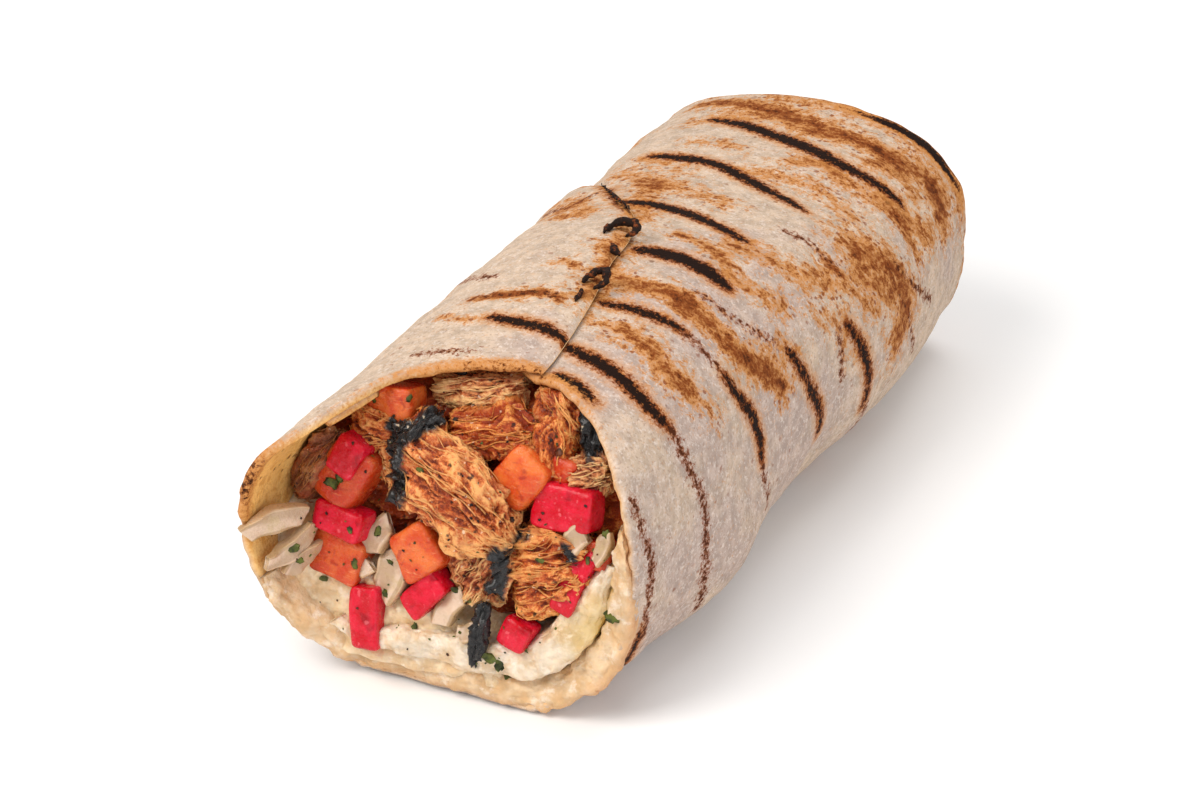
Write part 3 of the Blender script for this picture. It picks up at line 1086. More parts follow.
# Centre, size along, across and deep (mm), turn in the face (degrees), tint (0 red-brown, 1 pale,
# -1 grey-brown) and half the number of loose fibres
meatChunks = [
    ((15.0, 17.0, 26.5), (17, 15, 10), 20, 0.35, 46), ((-4.0, 15.5, 38.0), (27, 15, 12), -24, 0.45, 60),
    ((20.0, 22.5, 43.5), (9, 8, 7), 20, 0.75, 22), ((12.5, 24.0, 46.5), (11, 6.5, 8), -80, 0.3, 16),
    ((1.5, 23.0, 47.0), (18, 9.5, 10), 15, 0.05, 34), ((-12.0, 19.0, 43.5), (13, 9, 9), 62, 0.1, 20),
    ((-19.5, 18.5, 44.0), (10, 7, 8), 4, 0.4, 22), ((3.5, 15.0, 25.0), (13, 12, 10), 60, 0.6, 40),
    ((12.5, 30.0, 49.8), (12, 9, 11), -45, 0.4, 26), ((-4.5, 30.5, 50.8), (17, 9, 12), 14, 0.65, 36),
    ((-28.6, 12.5, 37.5), (15, 6.5, 6), 62, -0.9, 20), ((18.0, 29.5, 48.0), (10, 7, 8), -52, -0.3, 12)]
meatStrip = {"centre": (5.6, 8.8, 14.8), "size": (12.0, 2.8, 2.6), "turn": 88}
# Charred stripes: start and end of each (mm, in the mouth) and how far they reach
charStripes = [((-14.5, 15.0, 47.0), (-10.5, 12.0, 38.5), 2.3),
               ((-10.5, 12.0, 38.5), (-14.0, 10.0, 32.5), 1.9),
               ((-8.0, 17.0, 49.5), (-13.0, 15.0, 46.0), 2.0), ((9.0, 11.0, 31.5), (7.5, 8.5, 22.5), 1.8),
               ((7.5, 8.5, 22.5), (6.2, 7.5, 9.5), 1.5), ((7.5, 8.0, 20.0), (10.5, 8.0, 17.5), 1.3),
               ((17.8, 24.0, 52.0), (19.6, 26.0, 47.5), 2.2), ((19.5, 14.0, 33.0), (21.0, 13.5, 31.0), 1.1),
               ((4.0, 14.5, 31.8), (12.5, 15.5, 33.0), 1.1)]
fibreGrid = {"spacing": 0.28, "bundle": 1.5, "fibre": 0.85, "fine": 0.30, "lump": 1.1, "fold": 1.9,
             "warp": 1.9, "power": 2.6, "stripPower": 3.2,
             # noise scale of the ridges along a piece and across it (per mm)
             "bundleScale": (0.10, 0.38), "fibreScale": (0.20, 1.20), "fineScale": (0.36, 2.4),
             "foldScale": (0.07, 0.19)}
looseFibres = {"reach": 0.45, "thick": 0.15, "lift": 0.9, "tone": 0.78}
charHeight = 0.55                                 # how far burnt crust stands off a chunk (mm)


def charOf(points):
    # 1 within reach of a charred stripe, with a broken edge.
    flat = points.reshape(-1, 3)
    best = np.full(len(flat), 9.0)
    for start, end, reach in charStripes:
        start, end = np.array(start), np.array(end)
        along = end - start
        t = np.clip((flat - start) @ along / (along @ along), 0, 1)
        away = flat - start - t[:, None] * along
        away[:, 1] *= 0.35                               # stripes run back into the pile
        best = np.minimum(best, np.linalg.norm(away, axis=1) - reach)
    best = best + 0.9 * cloudNoise(flat / 1.8, 51)
    return rise(-best, -0.25, 0.35).reshape(points.shape[:-1])


def fibrous(half, seed, power=fibreGrid["power"]):
    # A boxy ball with bundles and fibres as ridges along its length, and torn lumps on top.
    f = fibreGrid
    perimeter = math.pi * (half[1] + half[2])
    rows = max(18, int(2.2 * half[0] / f["spacing"]))
    columns = max(24, int(perimeter / f["spacing"]))
    points, normal = roundedBlock(half, power, rows, columns)
    warp = vectorNoise(points / 5, seed)
    spot = points + f["warp"] * warp
    bundles, fibres, fine, folds = (
        ridgeNoise(spot * [f[key][0], f[key][1], f[key][1]], seed + step)
        for key, step in (("bundleScale", 1), ("fibreScale", 2), ("fineScale", 3), ("foldScale", 5)))
    lump = cloudNoise(points / 6.0, seed + 4, 2)
    size = min(1.0, half[2] / 6.0)
    height = size * (f["lump"] * lump + f["bundle"] * (bundles - 0.5) + f["fold"] * (folds - 0.55))
    height = height + f["fibre"] * (fibres - 0.5) + f["fine"] * (fine - 0.5)
    tone = np.clip(0.22 * folds + 0.28 * bundles + 0.42 * fibres + 0.30 * fine - 0.12, 0, 1)
    v = np.linspace(0, 2 * math.pi, columns, endpoint=False)[None, :] + 0 * points[..., 0]
    uv = np.stack([spot[..., 0], v * 0.5 * (half[1] + half[2]) + 0.8 * warp[..., 1]], axis=-1) / 100
    return points + normal * height[..., None], normal, tone, uv


def meatMaterial():
    # Strands from red-brown to pale by tone, matted patches, pepper, char and small wet glints.
    look = meatLook
    material, tree, shader = newMaterial("roastedShreds", **{
        "Subsurface Weight": 0.12, "Subsurface Radius": (1.0, 0.45, 0.2), "Subsurface Scale": 0.001,
        "Coat Roughness": 0.12, "Specular IOR Level": 0.36})
    place = millimetres(tree)
    grain = useGroup(tree, grainGroup, {"Vector": place, "Fine size": 0.35, "Coarse size": 2.4,
                                        "Coarse share": 0.4})
    sheet = put(tree, "ShaderNodeUVMap", uv_map="sheet").outputs[0]
    stretched = put(tree, "ShaderNodeMapping", {"Vector": sheet, "Scale": (90.0, 330.0, 1.0)}).outputs[0]
    strand = cloud(tree, stretched, 1.0, 4.0, 0.6, 0.4)
    both = timesPlus(tree, strand, 0.75, times(tree, grain["Fine"], 0.25))
    matted = cloud(tree, place, 1.5, 5.0, 0.75, 0.8)
    tone = timesPlus(tree, sums(tree, "SUBTRACT", both, 0.5), 1.0, valueOf(tree, "tone"))
    tone = timesPlus(tree, sums(tree, "SUBTRACT", matted, 0.44), 1.3, tone)
    tint = valueOf(tree, "tint")
    colour = mixed(tree, between(tree, tone, 0.18, 0.56), look["deep"], look["roasted"])
    light = mixed(tree, between(tree, tint, 0.2, 0.9), look["light"], look["pale"])
    colour = mixed(tree, between(tree, tone, 0.46, 0.84), colour, light)
    paler = times(tree, between(tree, tint, 0.3, 1.1, 0.0, 0.55), between(tree, tone, 0.1, 0.5))
    colour = mixed(tree, paler, colour, look["pale"])
    redder = times(tree, between(tree, tint, 0.16, 0.04, 0.0, 0.75),
                   between(tree, tone, 0.80, 0.45, 0.2, 1.0))
    colour = mixed(tree, redder, colour, look["reddish"])
    colour = mixed(tree, between(tree, tint, -0.1, -0.9, 0.0, 0.65), colour, look["grey"])
    patch = between(tree, cloud(tree, place, 0.26, 3.0, 0.6), 0.50, 0.64)
    colour = mixed(tree, times(tree, patch, 0.50), colour, look["reddish"])
    stained = between(tree, cloud(tree, place, 0.42, 4.0, 0.65, 0.6), 0.60, 0.72)
    colour = mixed(tree, times(tree, stained, 0.5), colour, look["deep"])
    pepper = freckled(tree, place, 2.0, 0.26, 0.30)
    colour = mixed(tree, times(tree, pepper, 0.85), colour, look["char"])
    char = valueOf(tree, "char")
    colour = mixed(tree, char, colour, look["char"])
    glints = freckled(tree, place, 0.95, 0.24, 0.22)
    colour = mixed(tree, times(tree, glints, 0.55), colour, look["glint"])
    tree.links.new(colour, shader.inputs["Base Color"])
    wet = between(tree, grain["Coarse"], 0.40, 0.62, 0.46, 0.20)
    tree.links.new(timesPlus(tree, char, -0.10, wet), shader.inputs["Roughness"])
    tree.links.new(timesPlus(tree, char, 0.35, 0.05), shader.inputs["Coat Weight"])
    height = timesPlus(tree, strand, 0.9, grain["Height"])
    bump(tree, shader, timesPlus(tree, matted, 0.8, height), 0.45, 0.8)
    return material


meatMaterialMade = meatMaterial()


def makeMeatChunks():
    # Each chunk is one mesh: its fibrous body and the loose fibres that lie on it.
    for number, (centre, size, turn, tint, fibres) in enumerate(meatChunks, 1):
        half = 0.5 * np.array([size[0], size[2], size[1]], float)
        surface, normal, tone, uv = fibrous(half, 10 * number)
        turned = turnOf(turn)
        world = insideWall(surface @ turned.T + centre)
        worldNormal = normal @ turned.T
        char = charOf(world)
        world = world + worldNormal * (charHeight * char)[..., None]
        flat, faces = closeBall(world)
        f = looseFibres
        loose, looseFaces = shredsOver(world, worldNormal, 2 * fibres, f["reach"], f["thick"], f["lift"],
                                       number)
        loose = insideWall(loose)
        points = np.concatenate([flat, loose])
        faces = faces + [part + len(flat) for part in looseFaces]
        tones = np.concatenate([atPoles(tone), np.full(len(loose), f["tone"])])
        uv = np.concatenate([withPoles(uv), (loose @ turned)[:, [0, 2]] / 100])
        chars = np.concatenate([atPoles(char), charOf(loose)])
        makePiece(f"meatChunk{number:02d}", points, faces, meatMaterialMade, [f"meat_chunk_{number:02d}"],
                  {"tone": tones, "char": chars, "tint": np.full(len(points), tint)}, uv)


def makeMeatStrip():
    s = meatStrip
    half = 0.5 * np.array([s["size"][0], s["size"][2], s["size"][1]])
    surface, _, tone, uv = fibrous(half, 300, fibreGrid["stripPower"])
    turned = turnOf(s["turn"])
    world = insideWall(surface @ turned.T + s["centre"])
    flat, faces = closeBall(world)
    makePiece("meatStrip", flat, faces, meatMaterialMade, ["meat_strip"],
              {"tone": atPoles(tone), "char": np.full(len(flat), 1.0), "tint": np.zeros(len(flat))},
              withPoles(uv))


packedHeap = {"columns": 160, "firstY": 13.0, "behindFace": 9.0, "heapBehind": 8.0, "stations": 14,
              "heapRings": 59, "ridge": 3.4, "thin": 1.2, "lump": 1.5, "sunk": 1.6, "warp": 1.6}


def makeCore():
    # Loops inside the spreads from behind the pieces to the far end; the front is a heap of shreds.
    h = packedHeap
    phi = np.arange(h["columns"]) * 360.0 / h["columns"]
    levels = [(spreads["hummusSpan"], spreads["hummusThick"]), (spreads["sauceSpan"], spreads["sauceThick"])]

    def loopAt(y):
        depth = wallDepth(phi, y) + spreads["wallGap"]
        for span, greatest in levels:
            middle = 0.5 * (span[0] + span[1])
            turned = np.mod(phi - middle + 180.0, 360.0) + middle - 180.0
            cover = plateau(turned, span[0] - 18, span[0] - 4, span[1] + 4, span[1] + 18)
            depth = depth + cover * (spreadThickness(turned, span, greatest) + spreads["layerGap"])
        return sectionPoint(phi, y, depth, depth - wallDepth(phi, y) + roll["sheet"])

    first = loopAt(0.0 * phi + h["firstY"])
    front = faceY(first[:, 0], first[:, 2]) + h["behindFace"]
    far = np.array([loopAt(front * (1 - t) + roll["fillingEnd"] * t)
                    for t in np.linspace(0, 1, h["stations"]) ** 1.5])
    middle = far[0].mean(axis=0)
    heap = middle + (far[0] - middle) * np.linspace(0.02, 1, h["heapRings"] + 1)[:-1, None, None]
    heap[..., 1] = faceY(heap[..., 0], heap[..., 2]) + h["heapBehind"]
    warped = heap + h["warp"] * vectorNoise(heap / 4, 81)
    ridged = ridgeNoise(warped * [0.22, 0.22, 0.55], 82)
    thin = ridgeNoise(warped * [0.6, 0.6, 1.6], 83)
    heaped = h["ridge"] * ridged + h["thin"] * thin - h["sunk"] + h["lump"] * cloudNoise(heap / 7, 84)
    heap[..., 1] -= heaped * np.linspace(1, 0.3, h["heapRings"])[:, None]
    loops = np.concatenate([heap, far])
    tone = np.concatenate([0.35 * ridged + 0.35 * thin, np.zeros((len(far), len(phi)))])
    flat, faces = closeBall(loops[::-1])
    makePiece("fillingHeap", flat, faces, meatMaterialMade, ["filling_core"],
              {"tone": atPoles(tone[::-1]), "char": np.zeros(len(flat)), "tint": np.zeros(len(flat))},
              flat[:, [0, 2]] / 100)


makeMeatChunks()
makeMeatStrip()
makeCore()


def crispBlock(size, power, spacing, seed, warp):
    # A boxy cut piece a little out of square, with faint dents of the knife and soft edges.
    half = 0.5 * np.array([size[0], size[2], size[1]], float)
    rows = max(26, int(2.6 * half[0] / spacing))
    columns = max(40, int(3.6 * (half[1] + half[2]) / spacing))
    points, normal = roundedBlock(half, power, rows, columns)
    pull = vectorNoise(points / 9, seed, (3, 13, 27))
    dents = cloudNoise(points * [0.18, 0.40, 0.40], seed + 5)
    return points + warp * pull + normal * (0.16 * dents)[..., None], normal


tomatoDice = {
    # centre, size along, across and deep (mm), turn in the face (degrees) and how red it is
    "pieces": [((-18.6, 21.8, 48.4), (11.5, 7.0, 8.0), 6, 0.2),
               ((-22.0, 13.5, 37.0), (12.5, 8.5, 7.0), 68, 0.9),
               ((-22.6, 9.8, 22.2), (10.5, 9.5, 7.0), -12, 0.6),
               ((-7.6, 12.6, 26.6), (9.5, 8.5, 7.0), 38, 0.15),
               ((8.8, 19.8, 41.8), (11.0, 8.5, 7.0), 58, 0.0), ((15.2, 23.0, 42.4), (7.0, 5.5, 6.0), 70, 0.9),
               ((24.4, 18.0, 31.4), (5.5, 5.0, 5.0), 0, 0.9)],
    "power": 6.5, "spacing": 0.20, "warp": 0.9,
    "flesh": colourOf(204, 72, 26), "lit": colourOf(222, 112, 48), "deep": colourOf(160, 34, 12),
    "red": colourOf(182, 36, 14), "vein": colourOf(238, 150, 96), "skin": colourOf(176, 28, 14),
}


def tomatoMaterial():
    # Wet flesh with radiating pale veins, darker jelly patches and small pits.
    t = tomatoDice
    material, tree, shader = newMaterial("tomatoFlesh", **{
        "Subsurface Weight": 0.30, "Subsurface Radius": (1.0, 0.28, 0.06), "Subsurface Scale": 0.0014,
        "Coat Roughness": 0.08, "Coat Weight": 0.10, "Specular IOR Level": 0.35})
    place = millimetres(tree)
    colour = mixed(tree, between(tree, cloud(tree, place, 0.24, 3.0, 0.6), 0.38, 0.64), t["flesh"], t["lit"])
    colour = mixed(tree, times(tree, valueOf(tree, "red"), 0.7), colour, t["red"])
    jelly = between(tree, cloud(tree, place, 0.34, 2.0, 0.5, 0.8), 0.58, 0.70)
    colour = mixed(tree, times(tree, jelly, 0.7), colour, t["deep"])
    stretched = put(tree, "ShaderNodeMapping", {"Vector": place, "Scale": (0.35, 0.5, 1.6),
                                                "Rotation": (0.4, 0.6, 0.3)}).outputs[0]
    veins = between(tree, cloud(tree, stretched, 1.0, 4.0, 0.6, 1.2), 0.56, 0.72)
    dashes = freckled(tree, stretched, 0.8, 0.24, 0.34)
    colour = mixed(tree, times(tree, dashes, 0.5), colour, t["deep"])
    colour = mixed(tree, times(tree, veins, 0.6), colour, t["vein"])
    colour = mixed(tree, between(tree, valueOf(tree, "skin"), 0.5, 0.7, 0.0, 0.85), colour, t["skin"])
    tree.links.new(colour, shader.inputs["Base Color"])
    wet = between(tree, cloud(tree, place, 0.9, 3.0), 0.36, 0.66, 0.14, 0.42)
    tree.links.new(wet, shader.inputs["Roughness"])
    height = timesPlus(tree, veins, 0.25, cloud(tree, place, 1.3, 4.0, 0.65))
    bump(tree, shader, height, 0.40, 0.55)
    return material


def makeTomatoes():
    t = tomatoDice
    flesh = tomatoMaterial()
    for number, (centre, size, turn, red) in enumerate(t["pieces"], 1):
        surface, normal = crispBlock(size, t["power"], t["spacing"], 40 + number, t["warp"])
        world = insideWall(surface @ turnOf(turn).T + centre)
        flat, faces = closeBall(world)
        skin = rise(normal[..., 2], 0.55, 0.9) if number % 2 else rise(-normal[..., 0], 0.55, 0.9)
        makePiece(f"tomatoDice{number:02d}", flat, faces, flesh, [f"tomato_{number:02d}"],
                  {"skin": atPoles(skin), "red": np.full(len(flat), red)})


pickleBatons = {
    "pieces": [((-21.8, 13.2, 40.8), (7.5, 6.0, 6.0), 66), ((-21.8, 10.0, 29.6), (9.5, 5.2, 5.5), -4),
               ((-15.2, 6.4, 13.8), (11.8, 5.8, 5.0), 96), ((-5.6, 10.2, 19.0), (8.6, 5.4, 5.0), 50),
               ((11.8, 12.2, 15.2), (5.6, 5.2, 5.0), 76), ((21.2, 16.0, 26.8), (13.2, 5.0, 4.6), 72),
               ((17.6, 19.0, 38.4), (11.5, 7.5, 6.0), 2)],
    "power": 8.0, "spacing": 0.20, "warp": 0.7,
    "flesh": colourOf(190, 2, 24), "bright": colourOf(212, 26, 52), "deep": colourOf(140, 0, 16),
    "pale": colourOf(236, 120, 128),
}


def pickleMaterial():
    # Glassy pink flesh with pale grains and streaks along the cut.
    p = pickleBatons
    material, tree, shader = newMaterial("pickledTurnip", **{
        "Subsurface Weight": 0.25, "Subsurface Radius": (1.0, 0.06, 0.10), "Subsurface Scale": 0.0012,
        "Coat Roughness": 0.06, "Coat Weight": 0.10, "Specular IOR Level": 0.25})
    place = millimetres(tree)
    lit = between(tree, cloud(tree, place, 0.30, 3.0, 0.6), 0.36, 0.62)
    colour = mixed(tree, lit, p["flesh"], p["bright"])
    dark = between(tree, cloud(tree, place, 0.26, 2.0, 0.5, 0.6), 0.56, 0.70, 0.0, 0.7)
    colour = mixed(tree, dark, colour, p["deep"])
    flecks = freckled(tree, place, 1.1, 0.30, 0.30)
    colour = mixed(tree, times(tree, flecks, 0.40), colour, p["pale"])
    streak = between(tree, cloud(tree, place, 1.1, 5.0, 0.7, 1.0), 0.60, 0.72)
    colour = mixed(tree, times(tree, streak, 0.40), colour, p["pale"])
    tree.links.new(colour, shader.inputs["Base Color"])
    wet = between(tree, cloud(tree, place, 0.8, 3.0), 0.36, 0.66, 0.10, 0.36)
    tree.links.new(wet, shader.inputs["Roughness"])
    bump(tree, shader, cloud(tree, place, 1.1, 4.0, 0.6), 0.38, 0.55)
    return material


def makePickles():
    p = pickleBatons
    flesh = pickleMaterial()
    for number, (centre, size, turn) in enumerate(p["pieces"], 1):
        surface, _ = crispBlock(size, p["power"], p["spacing"], 60 + number, p["warp"])
        world = insideWall(surface @ turnOf(turn).T + centre)
        flat, faces = closeBall(world)
        makePiece(f"pickledTurnip{number:02d}", flat, faces, flesh, [f"pickled_turnip_{number:02d}"])


cabbageSlices = {
    # centre, size along, across and deep (mm), turn in the face and swing into the roll (degrees)
    "pieces": [((-30.9, 1.5, 30.4), (11.2, 4.4, 2.4), 6, 54), ((-28.7, 2.7, 26.6), (11.0, 3.4, 2.2), 26, 64),
               ((-27.2, 4.6, 22.6), (8.0, 3.2, 2.0), 22, 66), ((-13.0, 9.8, 21.4), (8.8, 6.0, 2.6), 84, 0),
               ((-15.4, 11.0, 27.0), (6.5, 5.0, 2.4), 70, 0), ((-18.4, 8.6, 21.8), (5.0, 3.6, 2.0), 20, 0),
               ((-0.6, 10.2, 17.0), (7.0, 4.0, 2.2), 62, 0), ((3.0, 9.8, 14.0), (4.8, 3.6, 2.0), 30, 0),
               ((21.0, 16.0, 34.0), (5.0, 4.4, 2.4), 60, 0), ((25.4, 16.2, 34.0), (5.4, 2.6, 2.2), 80, 0)],
    "bend": 0.10, "leans": 10.0, "rows": 64, "columns": 48, "ruffle": 0.40, "slant": 0.22,
    "narrowing": 0.14, "thinning": 0.3, "ribSpacing": 1.1,
    "leaf": colourOf(184, 154, 124), "rib": colourOf(212, 184, 158), "edge": colourOf(172, 136, 86),
    "green": colourOf(186, 160, 108),
}


def cabbageMaterial():
    # Pale damp leaf with ribs along its length, greener and browner at the cut edges.
    c = cabbageSlices
    material, tree, shader = newMaterial("whiteCabbage", **{
        "Subsurface Weight": 0.35, "Subsurface Radius": (1.0, 0.85, 0.5), "Subsurface Scale": 0.0016,
        "Coat Weight": 0.15, "Coat Roughness": 0.12, "Specular IOR Level": 0.5})
    place = millimetres(tree)
    rib = valueOf(tree, "rib")
    colour = mixed(tree, between(tree, rib, 0.35, 0.85), c["leaf"], c["rib"])
    stain = between(tree, cloud(tree, place, 0.35, 3.0, 0.6), 0.50, 0.68)
    colour = mixed(tree, times(tree, stain, 0.45), colour, c["green"])
    colour = mixed(tree, between(tree, valueOf(tree, "edge"), 0.62, 0.95, 0.0, 0.55), colour, c["edge"])
    tree.links.new(colour, shader.inputs["Base Color"])
    wet = between(tree, cloud(tree, place, 0.9, 3.0), 0.36, 0.66, 0.24, 0.46)
    tree.links.new(wet, shader.inputs["Roughness"])
    height = timesPlus(tree, rib, 0.5, cloud(tree, place, 1.4, 4.0, 0.6))
    bump(tree, shader, height, 0.30, 0.6)
    return material


def makeCabbage():
    # Strips bent by bend * length * (1 - s^2), narrowed by 1 - narrowing * s^2, grooved along
    # their length; s runs from -1 to 1 along a strip.
    c = cabbageSlices
    leaf = cabbageMaterial()
    for number, (centre, (length, width, thick), turn, swing) in enumerate(c["pieces"], 1):
        u = np.linspace(0, math.pi, c["rows"] + 2)[1:-1, None]
        v = np.linspace(0, 2 * math.pi, c["columns"], endpoint=False)[None, :]
        s = -np.cos(u) * np.ones(v.shape)
        close = np.sin(u) ** 0.08
        cos, sin = np.cos(v), np.sin(v)
        deepShare = np.sign(cos) * np.abs(cos) ** 0.24
        wideShare = np.sign(sin) * np.abs(sin) ** 0.24
        wide = 0.5 * width * (1 - c["narrowing"] * s**2) * close * wideShare
        deep = 0.5 * thick * (1 - c["thinning"] * s**2) * close * deepShare
        grooves = np.cos(wide * 2 * math.pi / c["ribSpacing"] + number + 0.8 * s)
        ruffle = c["ruffle"] * (np.sin(3.1 * s + number) + 0.5 * np.sin(7.3 * s + 2.0 * number)) * wideShare
        side = 1 if number % 2 else -1
        bend = c["bend"] * length * (1 - s**2) * side
        slant = c["slant"] * width * wideShare * s**3 * side
        grooved = deep * (1 + 0.07 * grooves) + ruffle
        local = np.stack([0.5 * length * s + slant, grooved, bend + wide], axis=-1)
        lean = 0.0 if swing else pileLean - c["leans"] * (number % 3)
        turned = np.array(Matrix.Rotation(math.radians(swing), 3, "Z")) @ turnOf(turn, lean)
        world = insideWall(local @ turned.T + centre)
        flat, faces = closeBall(world)
        makePiece(f"cabbageSlice{number:02d}", flat, [face[:, ::-1] for face in faces], leaf,
                  [f"cabbage_{number:02d}"],
                  {"rib": atPoles(0.5 + 0.5 * grooves),
                   "edge": atPoles(np.abs(wideShare) * np.ones(s.shape))})


makeTomatoes()
makePickles()
makeCabbage()

# A bed of cream and hummus behind the lower pieces: from its left end to its right end (mm)
creamBed = {"fromX": -34.0, "toX": 14.0, "low": 3.4, "highLeft": 33.0, "highRight": 11.0, "behind": 1.7,
            "deep": 6.0, "rows": 110, "columns": 150, "lump": 1.5, "size": 5.2}


def makeCreamBed():
    # A height field y = face + behind + lumps, sinking at its rim, closed by a copy further back.
    c = creamBed
    share = np.linspace(0, 1, c["columns"])[None, :]
    up = np.linspace(0, 1, c["rows"])[:, None]
    x = c["fromX"] + (c["toX"] - c["fromX"]) * share + 0 * up
    top = c["highLeft"] + (c["highRight"] - c["highLeft"]) * share
    z = c["low"] + (top - c["low"]) * up
    spot = np.stack([x, 0 * x, z], axis=-1)
    lumps = cloudNoise(spot / c["size"], 91) + 0.35 * cloudNoise(spot / 1.9, 95)
    sunk = 5.0 * (1 - rise(up, 0.0, 0.10)) + 6.0 * rise(up, 0.72, 1.0) + 5.0 * rise(share, 0.84, 1.0)
    y = faceY(x, z) + c["behind"] + sunk - c["lump"] * lumps
    front = np.stack([x, y, z], axis=-1)
    back = front[::-1] + [0.0, c["deep"], 0.0]
    points = insideWall(np.concatenate([front, back]))
    flat, faces = closeEnds(points)
    sauce = rise(x, -27.0, -18.0) * rise(z, 6.0, 12.0)
    sauce = np.concatenate([sauce, sauce[::-1]]).ravel()
    makePiece("creamBed", flat, faces, bedPaste, (),
              {"baked": np.zeros(len(flat)), "oil": np.concatenate([0.15 * sauce, [0, 0]])})


bedPaste = pasteMaterial("creamyMix")
makeCreamBed()

# Scorched curls where the flap's edge lifted: path as (angle, y), height off the sheet, thickness
scorchedCurls = [
    ([(98.5, 76.5), (97, 79.5), (93, 81.2), (89.5, 79.5), (91, 77)], 1.0, 0.78),
    ([(92, 72), (90, 70), (87.5, 68.5)], 0.6, 0.7),
    ([(90, 56.5), (88.5, 59.6), (86, 60.6), (84, 58), (84.8, 55.5)], 0.8, 0.72),
    ([(88.2, 54), (87.2, 51.5), (86.6, 49.5)], 0.2, 0.42),
    ([(121, 105.5), (112, 98), (104, 92.5), (99, 89.5)], -0.1, 0.20)]


def makeCurls():
    # Crumpled strands along smooth paths on the sheet, with knots of noise.
    material, tree, shader = newMaterial("scorchedEdge", **{"Specular IOR Level": 0.2})
    place = millimetres(tree)
    burnt = between(tree, cloud(tree, place, 0.8, 4.0, 0.7), 0.52, 0.66)
    tree.links.new(mixed(tree, burnt, breadLook["char"], breadLook["brown"]), shader.inputs["Base Color"])
    shader.inputs["Roughness"].default_value = 0.7
    bump(tree, shader, cloud(tree, place, 2.2, 4.0, 0.7), 0.4, 0.8)
    points, faces, total = [], [], 0
    for number, (path, lift, thick) in enumerate(scorchedCurls):
        t = np.linspace(0, 1, 46)
        phi, y = (curve(t, np.linspace(0, 1, len(path)), [p[axis] for p in path]) for axis in (0, 1))
        line = sectionPoint(phi, y, -lift * np.sin(math.pi * t) ** 0.7, 0.0)
        out = line - np.stack([0 * t, y, roll["halfHeight"][0] + 0 * t], axis=-1)
        out /= np.linalg.norm(out, axis=1, keepdims=True)
        line = line + 0.35 * vectorNoise(line / 1.2, number)
        knotted = 1 + 0.35 * smoothNoise(line / 0.9, number + 4)
        radius = thick * (0.35 + 0.65 * np.sin(math.pi * t) ** 0.5) * knotted
        body, parts = tubes(line[None], out[None], radius[None], 12)
        body = body + 0.22 * vectorNoise(body / 0.7, number, (2, 11, 23))
        points.append(body)
        faces += [part + total for part in parts]
        total += len(body)
    makePiece("scorchedCurls", np.concatenate(points), faces, material, ())


makeCurls()

viewpoint = {"target": (-10.68, 4.82, 15.90), "distance": 588.8, "azimuth": 27.93, "elevation": 29.24,
             "lens": 90.0, "sensor": 36.0, "frameWidth": 1200, "frameHeight": 800}
turnA, turnE = math.radians(viewpoint["azimuth"]), math.radians(viewpoint["elevation"])
viewBack = Vector((math.sin(turnA) * math.cos(turnE), -math.cos(turnA) * math.cos(turnE), math.sin(turnE)))
viewEye = (Vector(viewpoint["target"]) + viewBack * viewpoint["distance"]) * 0.001


def surfaceFinder(names):
    # Hits of the line through a point of the frame on the named pieces: the nearest point and its normal.
    graph = bpy.context.evaluated_depsgraph_get()
    trees = [BVHTree.FromObject(madePieces[name], graph) for name in names]
    right = Vector((math.cos(turnA), math.sin(turnA), 0.0))
    up = viewBack.cross(right)
    scale = viewpoint["sensor"] / viewpoint["lens"] / viewpoint["frameWidth"]

    def find(px, py):
        way = right * (px - 0.5 * viewpoint["frameWidth"]) * scale
        way = (way + up * (0.5 * viewpoint["frameHeight"] - py) * scale - viewBack).normalized()
        hits = [hit for hit in (tree.ray_cast(viewEye, way) for tree in trees) if hit[0] is not None]
        return min(hits, key=lambda hit: hit[3])[:2] if hits else (None, None)
    return find


# Herb flecks as points of the 1200 x 800 frame that the camera sees, with their length in millimetres
herbs = {
    "spots": [(332, 483, 2.6), (294, 548, 2.2), (378, 531, 1.9), (355, 564, 2.0), (386, 594, 1.9),
              (414, 628, 2.0), (489, 658, 2.4), (499, 664, 2.6), (508, 677, 2.0), (613, 618, 3.0),
              (606, 612, 2.2), (606, 534, 1.6), (456, 590, 1.7), (374, 400, 1.5), (409, 398, 1.5),
              (324, 578, 1.8), (340, 478, 1.8), (470, 600, 1.5), (540, 560, 1.5), (420, 470, 1.4),
              (300, 560, 1.4), (526, 650, 1.4), (390, 562, 1.4), (588, 560, 1.4), (350, 530, 1.3)],
    "specks": 110, "middle": (452, 530), "reach": (160, 140), "speckLength": (0.3, 0.65),
    "pepper": [(462, 372, 2.8), (560, 452, 1.6), (455, 420, 1.2), (512, 520, 1.2)],
    "pepperShare": 0.45, "lift": 0.12, "jag": 0.45, "leafBend": 0.25,
    "leafThin": 0.16, "leafWide": (0.45, 0.8), "pepperThin": 0.5, "pepperWide": 0.8,
    "green": colourOf(40, 46, 12), "paleGreen": colourOf(92, 98, 34),
    "black": colourOf(26, 14, 8), "rust": colourOf(92, 44, 18),
}


